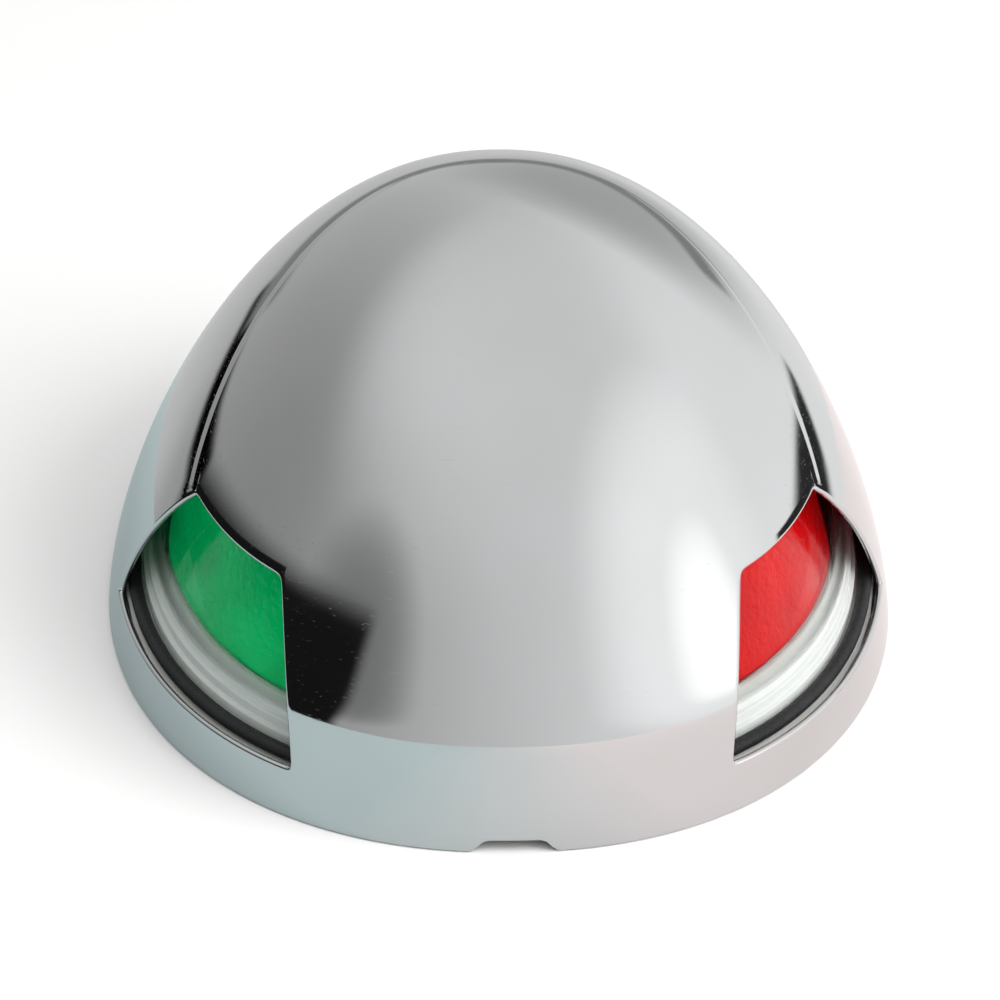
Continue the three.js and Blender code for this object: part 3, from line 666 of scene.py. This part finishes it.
def stainless_polished():
    """Stainless sheet, pressed and buffed: a clear mirror with a slight haze, buffing lines
    and a few hairline scratches, which show where it mirrors something dark."""
    colours = bpy.context.scene.nav_light_colours
    material, tree, shader = new_material("stainless sheet, pressed and buffed", {"Metallic": 1.0})
    tree.links.new(tint(tree, noise(tree, 20 * MM, 2), colours.steel_dark, colours.steel_light),
                   shader.inputs["Base Color"])
    haze = spread(tree, noise(tree, 6 * MM, 3), 0.045, 0.07)
    scratches = spread(tree, noise(tree, 0.2 * MM, 1, (0.02, 0.4, 1.2)), 0, 0.2, 0.68, 0.76)
    rough = add_node(tree, "ShaderNodeMath", {"operation": "ADD"}, {0: haze, 1: scratches})
    tree.links.new(rough.outputs[0], shader.inputs["Roughness"])
    buffing = noise(tree, 0.3 * MM, 2, (0.15, 1, 1))        # drawn coarser than real, to show
    bump(tree, shader, buffing, 0.0005 * MM)
    return material


def stainless_rolled():
    """Stainless spring strip and turned screws, left as rolled: soft bright streaks."""
    material, tree, shader = new_material("stainless, bright rolled", {"Metallic": 1.0})
    streaks = noise(tree, 0.2 * MM, 3, (0.1, 1, 1))
    tree.links.new(tint(tree, streaks, "#8f9193", "#bcbec0"), shader.inputs["Base Color"])
    tree.links.new(spread(tree, streaks, 0.22, 0.38), shader.inputs["Roughness"])
    bump(tree, shader, streaks, 0.004 * MM)
    return material


def plastic_clear():
    """Polycarbonate, injection moulded: clear and glossy with slow flow ripples, and hazy in
    the thick stepped foot."""
    colours = bpy.context.scene.nav_light_colours
    material, tree, shader = new_material("polycarbonate, clear moulded", {
        "Base Color": linear(colours.clear),
        "IOR": 1.12,        # low, so that it hardly mirrors the room
    })
    height = add_node(tree, "ShaderNodeSeparateXYZ", links={
        0: add_node(tree, "ShaderNodeTexCoord").outputs["Object"]}).outputs["Z"]
    tree.links.new(spread(tree, height, 0.45, 1.0, 9.4 * MM, 10.2 * MM),
                   shader.inputs["Transmission Weight"])
    tree.links.new(spread(tree, noise(tree, 2 * MM), 0.01, 0.03), shader.inputs["Roughness"])
    bump(tree, shader, noise(tree, 4 * MM, 1), 0.015 * MM)
    return material


def plastic_tinted(name, dark, light, painted_glow):
    """Polycarbonate tinted in the mass and moulded with fine pebbles: a deep, slightly uneven
    colour. Its emission is a painted glow that stands in for the light that gets in all round it
    and comes out coloured."""
    material, tree, shader = new_material(name, {
        "IOR": 1.5, "Transmission Weight": 0.1, "Specular IOR Level": 0.1,
        "Emission Strength": painted_glow})
    cloud = tint(tree, noise(tree, 9 * MM, 2), dark, light)
    tree.links.new(cloud, shader.inputs["Base Color"])
    # the emission is a painted glow in the filter's own uneven colour
    tree.links.new(cloud, shader.inputs["Emission Color"])
    tree.links.new(spread(tree, noise(tree, 1 * MM), 0.08, 0.22), shader.inputs["Roughness"])
    bump(tree, shader, noise(tree, 1.1 * MM, 2), 0.25 * MM)
    return material


def green_plastic():
    """The starboard colour, with a painted glow of strength 0.75."""
    colours = bpy.context.scene.nav_light_colours
    return plastic_tinted("polycarbonate, green, pebbled", colours.green_dark,
                          colours.green_light, 0.75)


def red_plastic():
    """The port colour, with a painted glow of strength 0.4."""
    colours = bpy.context.scene.nav_light_colours
    return plastic_tinted("polycarbonate, red, pebbled", colours.red_dark,
                          colours.red_light, 0.4)


def moulded(name, dark, light, low, high, grain, depth):
    """An opaque moulding: a slight change of shade, a fine moulded grain and its gloss."""
    material, tree, shader = new_material(name)
    shade = noise(tree, 8 * MM, 3)
    tree.links.new(tint(tree, shade, dark, light), shader.inputs["Base Color"])
    fine = noise(tree, grain, 2)
    tree.links.new(spread(tree, fine, low, high), shader.inputs["Roughness"])
    bump(tree, shader, fine, depth)
    return material


def rubber():
    """Black neoprene, compression moulded: matt, with a dusty bloom."""
    return moulded("neoprene, moulded", "#0f1011", "#1f2022", 0.5, 0.75, 0.3 * MM, 0.02 * MM)


def white_moulding():
    """White nylon, injection moulded: satin, very slightly warm."""
    return moulded("nylon, white moulded", "#dad9d4", "#e9e9e5", 0.35, 0.5, 0.25 * MM, 0.01 * MM)


def black_moulding():
    """Black ABS, injection moulded with a spark-eroded grain."""
    return moulded("ABS, black moulded", "#131415", "#232426", 0.4, 0.6, 0.2 * MM, 0.015 * MM)


def aluminium_bright():
    """Aluminium strip, bright rolled: brighter than steel, with fine rolling lines."""
    material, tree, shader = new_material("aluminium, bright rolled", {"Metallic": 1.0})
    lines = noise(tree, 0.18 * MM, 2, (1, 0.08, 1))
    tree.links.new(tint(tree, lines, "#cfd1d3", "#e6e7e9"), shader.inputs["Base Color"])
    tree.links.new(spread(tree, lines, 0.12, 0.24), shader.inputs["Roughness"])
    return material


def brass_stamped():
    """Brass strip, stamped: yellow where it was wiped and browner where it has dulled."""
    material, tree, shader = new_material("brass, stamped", {"Metallic": 1.0})
    dulled = noise(tree, 3 * MM, 5)
    tree.links.new(tint(tree, dulled, "#a5803a", "#d5b25c"), shader.inputs["Base Color"])
    tree.links.new(spread(tree, dulled, 0.42, 0.22), shader.inputs["Roughness"])
    bump(tree, shader, noise(tree, 0.3 * MM), 0.006 * MM)
    return material


def glass_blown():
    """Soda glass, drawn to a tube and closed: clear, with faint draw lines along it."""
    material, tree, shader = new_material("soda glass, drawn tube", {
        "Base Color": linear("#f6faf9"), "Transmission Weight": 1.0, "IOR": 1.52,
        "Roughness": 0.0})
    bump(tree, shader, noise(tree, 1.5 * MM, 2, (1, 0.1, 1)), 0.01 * MM)
    return material


def tungsten_wire():
    """Tungsten wire, drawn and coiled: dark grey with a dull shine."""
    material, tree, shader = new_material("tungsten, drawn wire",
                                          {"Metallic": 1.0, "Roughness": 0.4})
    streaks = noise(tree, 0.2 * MM)
    tree.links.new(tint(tree, streaks, "#4c4c50", "#6f7074"), shader.inputs["Base Color"])
    return material


FINISHES = {
    "polished_stainless": stainless_polished, "spring_stainless": stainless_rolled,
    "clear_plastic": plastic_clear, "green_plastic": green_plastic,
    "red_plastic": red_plastic, "black_rubber": rubber, "white_plastic": white_moulding,
    "black_plastic": black_moulding, "bright_aluminium": aluminium_bright,
    "brass": brass_stamped, "bulb_glass": glass_blown, "tungsten": tungsten_wire,
}
made_finishes = {}


def finish(slot):
    """The material of a slot, made once."""
    if slot not in made_finishes:
        made_finishes[slot] = FINISHES[slot]()
    return made_finishes[slot]


# ---- Studio --------------------------------------------------------------------------------

# Soft lamps of the room: azimuth (0 ahead, + to port), elevation, the half-angles at which
# each is full and at which it has faded, all in degrees, and its brightness.
STUDIO_LAMPS = [
    (0, 85, 10, 60, 0.88),
    (-46, 20, 0, 24, 0.26),
    (62, 20, 8, 42, 1.32),
    (64, 16, 1, 17, 1.75),
    (-165, -28, 8, 32, 0.62),
    (162, 12, 5, 30, 0.52),
]

# Dark screens in the room: brightness, softness of the edge in degrees, and the corners as
# azimuths and elevations.
STUDIO_SCREENS = [
    (0.01, 2.4, [(-50, -30), (-41, 27.5), (-130, -5), (-130, -30)]),
    (0.0, 1.2, [(-126, -2), (-152, -2.5), (-152, -6.5), (-126, -9)]),
    (0.28, 1.5, [(-146, 0.5), (177, 3.5), (177, -1), (-146, -5)]),
    (0.28, 1.5, [(146, 1.5), (-177, 3.5), (-177, -1), (146, -3.5)]),
    (0.03, 1.2, [(104, 6), (119, -0.5), (131, -5.5), (146, -9), (146, -13), (104, -13)]),
]


def direction(azimuth, elevation):
    """A unit vector towards an azimuth (0 ahead, + to port) and elevation in degrees."""
    turn, rise = math.radians(azimuth), math.radians(elevation)
    return Vector((math.sin(turn) * math.cos(rise), -math.cos(turn) * math.cos(rise),
                   math.sin(rise)))


def dot_with(tree, where, vector):
    """How far each direction agrees with a vector: 1 along it and -1 against it."""
    return add_node(tree, "ShaderNodeVectorMath", {"operation": "DOT_PRODUCT", 1: vector},
                    {0: where}).outputs["Value"]


def screen_share(tree, where, corners, softness):
    """One inside a convex patch of the room and nought outside it: the product, over its
    sides, of how far each direction is on the inner side of the plane through that side."""
    points = [direction(*corner) for corner in corners]
    middle = sum(points, Vector())
    edge, share = math.sin(math.radians(softness)), None
    for start, end in zip(points, points[1:] + points[:1]):
        inwards = start.cross(end).normalized()
        inwards *= math.copysign(1, inwards.dot(middle))
        side = eased_step(tree, dot_with(tree, where, inwards), -edge, edge)
        share = side if share is None else add_node(
            tree, "ShaderNodeMath", {"operation": "MULTIPLY"}, {0: share, 1: side}).outputs[0]
    return share


def studio_world(stage):
    """A pale room, darker to starboard than to port, with soft lamps and dark screens. The
    camera itself sees only plain pale grey."""
    world = bpy.data.worlds.new("studio")
    world.use_nodes = True
    tree = world.node_tree
    tree.nodes.clear()
    where = add_node(tree, "ShaderNodeTexCoord").outputs["Generated"]
    shade = spread(tree, dot_with(tree, where, direction(stage.room_bright_side, 0)),
                   stage.room_starboard, stage.room_port, -1, 1)
    changes = []
    for azimuth, elevation, full, faded, brightness in STUDIO_LAMPS:
        towards = dot_with(tree, where, direction(azimuth, elevation))
        edge, core = (math.cos(math.radians(angle)) for angle in (faded, full))
        changes.append((brightness, eased_step(tree, towards, edge, core)))
    for brightness, softness, corners in STUDIO_SCREENS:
        changes.append((brightness, screen_share(tree, where, corners, softness)))
    for brightness, share in changes:
        shade = add_node(tree, "ShaderNodeMix", {3: brightness},
                         {0: share, 2: shade}).outputs[0]
    room = add_node(tree, "ShaderNodeBackground", {"Color": linear(stage.room_colour)},
                    {"Strength": shade})
    plain = add_node(tree, "ShaderNodeBackground", {"Color": linear("#f4f4f3"), "Strength": 1.0})
    is_seen = add_node(tree, "ShaderNodeLightPath").outputs["Is Camera Ray"]
    mixed = add_node(tree, "ShaderNodeMixShader", links={
        0: is_seen, 1: room.outputs["Background"], 2: plain.outputs["Background"]})
    add_node(tree, "ShaderNodeOutputWorld", links={"Surface": mixed.outputs["Shader"]})
    bpy.context.scene.world = world


def studio_floor(stage):
    """A round pale table and, round it, a floor of the same board that metal doesn't mirror,
    so that the metal sees the room past the table's edge. Everything but the camera sees the
    board darker, with a painted cast of each window's coloured light on that window's side."""
    material, tree, shader = new_material("painted board, white",
                                          {"Roughness": 0.8, "Specular IOR Level": 0.2})
    where = add_node(tree, "ShaderNodeTexCoord").outputs["Object"]
    across = add_node(tree, "ShaderNodeSeparateXYZ", links={0: where}).outputs["X"]
    # painted cast of the windows' coloured light: greener and darker to starboard, pinker to port
    painted_window_cast = tint(tree, spread(tree, across, 0, 1, -60 * MM, 60 * MM), "#c3d2d3", "#e6dedd")
    is_seen = add_node(tree, "ShaderNodeLightPath").outputs["Is Camera Ray"]
    seen = add_node(tree, "ShaderNodeMix", {"data_type": "RGBA", 7: linear("#f4f4f3")},
                    {0: is_seen, 6: painted_window_cast})
    tree.links.new(seen.outputs[2], shader.inputs["Base Color"])
    turn = full_turn(96)
    rings = {"table": (1 * MM, stage.table_radius),
             "floor": (stage.table_radius, stage.floor_radius)}
    for name, (inner, outer) in rings.items():
        radius = np.geomspace(inner, outer, 12)[:, None]
        points = np.stack(np.broadcast_arrays(
            radius * np.cos(turn), radius * np.sin(turn) - stage.table_ahead, FLOOR_HEIGHT),
            axis=-1)
        mesh = bpy.data.meshes.new(name)
        mesh.from_pydata(points.reshape(-1, 3).tolist(), [],
                         sheet_faces(wrapped(numbered(points), 1)))
        if mesh.polygons[0].normal.z < 0:
            mesh.flip_normals()
        mesh.materials.append(material)
        board = bpy.data.objects.new(name, mesh)
        board.visible_glossy = name == "table"
        bpy.context.scene.collection.objects.link(board)


def studio_light(name, azimuth, elevation, distance, size, power):
    """A square soft light aimed at the middle of the object, which the metal doesn't mirror."""
    lamp = bpy.data.lights.new(name, "AREA")
    lamp.size = size
    lamp.energy = power
    light = bpy.data.objects.new(name, lamp)
    away = direction(azimuth, elevation)
    light.location = away * distance
    light.rotation_euler = away.to_track_quat("Z", "Y").to_euler()
    light.visible_glossy = False
    bpy.context.scene.collection.objects.link(light)


def studio_camera(stage):
    """A rolled camera at a distance from a point inside the object, aimed a little under it."""
    back = direction(stage.view_azimuth, stage.view_elevation)
    right = Vector((0, 0, 1)).cross(back).normalized()
    up = back.cross(right)
    roll = math.radians(stage.view_roll)
    right, up = (right * math.cos(roll) + up * math.sin(roll),
                 up * math.cos(roll) - right * math.sin(roll))
    middle = Vector((0, 0, stage.view_height))
    aim = middle - up * stage.view_drop
    camera = bpy.data.objects.new("camera", bpy.data.cameras.new("camera"))
    eye = middle + back * stage.view_distance
    towards = (eye - aim).normalized()
    right = (right - towards * right.dot(towards)).normalized()
    up = towards.cross(right)
    turned = Matrix((right, up, towards)).transposed().to_4x4()
    camera.matrix_world = Matrix.Translation(eye) @ turned
    camera.data.sensor_width = 36
    camera.data.lens = stage.view_lens
    camera.data.clip_start = 0.02
    bpy.context.scene.collection.objects.link(camera)
    bpy.context.scene.camera = camera


# ---- Sizes, colours and settings -----------------------------------------------------------

def amount(name, description, default, **more):
    """A property that holds a number."""
    return bpy.props.FloatProperty(name=name, description=description, default=default, **more)


def length(name, description, default):
    """A property that holds a length in metres."""
    return amount(name, description, default, unit="LENGTH", precision=4)


def colour(name, description, default):
    """A property that holds an sRGB hex colour."""
    return bpy.props.StringProperty(name=name, description=description, default=default)


class NAVLIGHT_cover_sizes(bpy.types.PropertyGroup):
    """Driving sizes of the pressed cover."""
    sheet: length("Sheet", "Thickness of the sheet", 0.8 * MM)
    crease_height: length("Crease height", "Top of the upright band round the nose", 14 * MM)
    band_taper: amount("Band taper", "Share of its radius the band loses up to the crease", 0.04)
    crease_fade: length("Crease fade", "Height over which the nose settles on the dome", 20 * MM)
    valley_depth: length("Valley depth", "Depth of the valley beside the nose", 0.12 * MM)
    valley_slope: amount("Valley slope", "How far the flank's front edge leans aft per up", 0.95)
    valley_offset: length("Valley offset", "Where the flank's front edge meets the deck, ahead",
                          40.5 * MM)
    valley_steep: length("Valley steep side", "Width of the side by the flank", 0.6 * MM)
    valley_wide: length("Valley gentle side", "Width of the side out on the nose", 16 * MM)
    window_bottom: length("Window bottom", "Height of the windows' lower edge", 5.9 * MM)
    window_top: length("Window top", "Height of the windows' upper edge", 25.8 * MM)
    window_inner: bpy.props.FloatVectorProperty(
        name="Window inner edge", description="Distance from the middle, low and high",
        default=(24.7 * MM, 25.6 * MM), size=2, unit="LENGTH", precision=4)
    window_aft: bpy.props.FloatVectorProperty(
        name="Window aft edge", description="Place along the length, low, middle and high",
        default=(-10.2 * MM, -12.8 * MM, -18.2 * MM), size=3, unit="LENGTH", precision=4)
    window_corner: length("Window corner", "Reach of the rounding of the corners", 1.1 * MM)
    notch_wide: length("Notch at the foot", "Width of the notch at the deck", 9.5 * MM)
    notch_narrow: length("Notch at its top", "Width of the notch at its top", 6.7 * MM)
    notch_high: length("Notch height", "Height of the notch", 1.5 * MM)


class NAVLIGHT_inner_sizes(bpy.types.PropertyGroup):
    """Driving sizes of the lens, filters, seal and bulbs."""
    lens_inset: length("Lens inset", "Distance of the lens inside the plain dome", 3.8 * MM)
    lens_wall: length("Lens wall", "Thickness of the lens", 2 * MM)
    lens_bottom: length("Lens bottom", "Height of the lens's foot", 5.3 * MM)
    lens_roof: length("Lens roof", "Height of the lens's flat roof", 36 * MM)
    pillar_y: length("Pillar place", "Distance of the clamping screw aft of the middle", 6 * MM)
    pillar_bore: length("Pillar bore", "Radius of the clamping screw's hole", 1.9 * MM)
    filter_wall: length("Filter wall", "Thickness of the colour filters", 1.5 * MM)
    filter_bottom: length("Filter bottom", "Height of the filters' lower edge", 10 * MM)
    filter_top: length("Filter top", "Height of the filters' upper edge", 33.4 * MM)
    filter_split: length("Filter split", "Half the space between the filters", 3 * MM)
    filter_aft: length("Filter aft", "Place of the filters' aft edge", 8 * MM)
    seal_inset: length("Seal inset", "Distance of the seal's middle in from the outline", 3.3 * MM)
    seal_radius: length("Seal radius", "Radius of the seal's section", 0.85 * MM)
    base_floor: length("Base floor", "Height of the base's floor", 5 * MM)
    bulb_half: length("Bulb half length", "Half the length of a bulb's glass", 12 * MM)
    bulb_radius: length("Bulb radius", "Radius of a bulb's glass", 4.25 * MM)


class NAVLIGHT_colours(bpy.types.PropertyGroup):
    """Colours of the finishes, as sRGB hex values."""
    steel_dark: colour("Steel, dark", "Polished steel where it is darker", "#c9caca")
    steel_light: colour("Steel, light", "Polished steel where it is lighter", "#cecfd0")
    clear: colour("Clear plastic", "Tint of the lens", "#f2f6f4")
    green_dark: colour("Green, dark", "Green filter where it is darker", "#007a40")
    green_light: colour("Green, light", "Green filter where it is lighter", "#009452")
    red_dark: colour("Red, dark", "Red filter where it is darker", "#b4060c")
    red_light: colour("Red, light", "Red filter where it is lighter", "#c80a10")


class NAVLIGHT_stage_settings(bpy.types.PropertyGroup):
    """The studio and the camera."""
    room_starboard: amount("Room to starboard", "Brightness of the room to starboard", 0.34)
    room_port: amount("Room to port", "Brightness of the room to port", 1.18)
    room_bright_side: amount("Room's bright side", "Degrees to port of dead ahead", 88)
    room_colour: colour("Room colour", "Colour of the room", "#ffffff")
    table_radius: length("Table radius", "Radius of the table that the metal mirrors", 110 * MM)
    table_ahead: length("Table ahead", "How far the table's middle is ahead of the light", 40 * MM)
    floor_radius: length("Floor radius", "Radius of the floor", 4.0)
    key_power: amount("Key light", "Power of the main soft light", 1.6, unit="POWER")
    fill_power: amount("Fill light", "Power of the second soft light", 1.0, unit="POWER")
    view_azimuth: amount("View azimuth", "Degrees to port of dead ahead", -2.4)
    view_elevation: amount("View elevation", "Degrees above the deck", 33)
    view_roll: amount("View roll", "Degrees that the camera is rolled", 0.77)
    view_distance: length("View distance", "Camera to the middle of the object", 437.2 * MM)
    view_lens: amount("View lens", "Focal length in millimetres", 130)
    view_height: length("View height", "Height of the point that is looked at", 20 * MM)
    view_drop: length("View drop", "How far under that point the camera is aimed", 6.91 * MM)


# ---- Operators -----------------------------------------------------------------------------

class NAVLIGHT_OT_cover(bpy.types.Operator):
    """Make the pressed cover"""
    bl_idname = "navlight.cover"
    bl_label = "Cover"

    def execute(self, context):
        put_in_scene("cover_pressed", cover_mesh(context.scene.nav_light_cover), "cover_shell")
        return {"FINISHED"}


class NAVLIGHT_OT_lens(bpy.types.Operator):
    """Make the clear lens and the seal round its foot"""
    bl_idname = "navlight.lens"
    bl_label = "Lens and Seal"

    def execute(self, context):
        sizes = context.scene.nav_light_inner
        put_in_scene("lens_moulded", lens_mesh(sizes), "clear_lens")
        low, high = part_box("lens_seal")
        seal = ring_mesh("lens_seal_round", sizes.seal_inset, (low[2] + high[2]) / 2,
                         sizes.seal_radius)
        put_in_scene("lens_seal_round", seal, "lens_seal")
        return {"FINISHED"}


class NAVLIGHT_OT_filters(bpy.types.Operator):
    """Make the green and red filters"""
    bl_idname = "navlight.filters"
    bl_label = "Colour Filters"

    def execute(self, context):
        for hue, side in (("green", -1), ("red", 1)):
            mesh = filter_mesh(f"{hue}_filter_moulded", side, context.scene.nav_light_inner)
            put_in_scene(f"{hue}_filter_moulded", mesh, f"{hue}_filter")
        return {"FINISHED"}


class NAVLIGHT_OT_bulbs(bpy.types.Operator):
    """Make both bulbs and the reflectors beside them"""
    bl_idname = "navlight.bulbs"
    bl_label = "Bulbs and Reflectors"

    def execute(self, context):
        sizes = context.scene.nav_light_inner
        for hand, side in HANDS.items():
            low, high = (np.array(corner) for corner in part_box(f"bulb_glass_{hand}"))
            centre = (low + high) / 2
            put_in_scene(f"bulb_glass_drawn_{hand}", bulb_glass_mesh("glass", centre, sizes),
                         f"bulb_glass_{hand}")
            put_in_scene(f"bulb_filament_coiled_{hand}",
                         filament_mesh("filament", centre, sizes), f"bulb_filament_{hand}")
            for place, end in (("fore", -1), ("aft", 1)):
                put_in_scene(f"bulb_cap_spun_{place}_{hand}",
                             bulb_cap_mesh("cap", centre, end, sizes),
                             f"bulb_cap_{place}_{hand}")
            put_in_scene(f"reflector_bent_{hand}",
                         reflector_mesh("reflector", side, centre, sizes), f"reflector_{hand}")
        return {"FINISHED"}


class NAVLIGHT_OT_fittings(bpy.types.Operator):
    """Make every other fitting from its own shape, with its edges rounded"""
    bl_idname = "navlight.fittings"
    bl_label = "Small Fittings"

    def execute(self, context):
        for node, bevel in FITTING_BEVELS.items():
            eased_copy(node, bevel)
        return {"FINISHED"}


class NAVLIGHT_OT_stage(bpy.types.Operator):
    """Set up the floor, the light of the room and the camera"""
    bl_idname = "navlight.stage"
    bl_label = "Studio Stage"

    def execute(self, context):
        stage = context.scene.nav_light_stage
        studio_world(stage)
        studio_floor(stage)
        studio_light("key", azimuth=62, elevation=42, distance=0.5, size=0.3,
                     power=stage.key_power)
        studio_light("fill", azimuth=-20, elevation=65, distance=0.9, size=0.7,
                     power=stage.fill_power)
        studio_camera(stage)
        context.scene.view_settings.view_transform = "Standard"
        return {"FINISHED"}


class NAVLIGHT_PT_panel(bpy.types.Panel):
    """Lists the light's pieces and its main sizes"""
    bl_idname = "NAVLIGHT_PT_panel"
    bl_label = "Nav Light"
    bl_space_type = "VIEW_3D"
    bl_region_type = "UI"
    bl_category = "Nav Light"

    def draw(self, context):
        for operator in OPERATORS:
            self.layout.operator(operator.bl_idname)
        for settings, names in PANEL_SETTINGS.items():
            for name in names:
                self.layout.prop(getattr(context.scene, settings), name)


OPERATORS = (NAVLIGHT_OT_stage, NAVLIGHT_OT_cover, NAVLIGHT_OT_lens, NAVLIGHT_OT_filters,
             NAVLIGHT_OT_bulbs, NAVLIGHT_OT_fittings)
SETTINGS = {
    "nav_light_cover": NAVLIGHT_cover_sizes, "nav_light_inner": NAVLIGHT_inner_sizes,
    "nav_light_colours": NAVLIGHT_colours, "nav_light_stage": NAVLIGHT_stage_settings,
}
PANEL_SETTINGS = {
    "nav_light_cover": ("sheet", "valley_depth", "window_corner"),
    "nav_light_colours": ("green_light", "red_light"),
    "nav_light_stage": ("key_power", "fill_power", "view_lens"),
}


def register():
    for group in (*SETTINGS.values(), *OPERATORS, NAVLIGHT_PT_panel):
        bpy.utils.register_class(group)
    for name, group in SETTINGS.items():
        setattr(bpy.types.Scene, name, bpy.props.PointerProperty(type=group))


def unregister():
    for name in SETTINGS:
        delattr(bpy.types.Scene, name)
    for group in (NAVLIGHT_PT_panel, *reversed(OPERATORS), *reversed(SETTINGS.values())):
        bpy.utils.unregister_class(group)


def main():
    register()
    for operator in OPERATORS:
        family, name = operator.bl_idname.split(".")
        getattr(getattr(bpy.ops, family), name)()


if __name__ == "__main__":
    main()
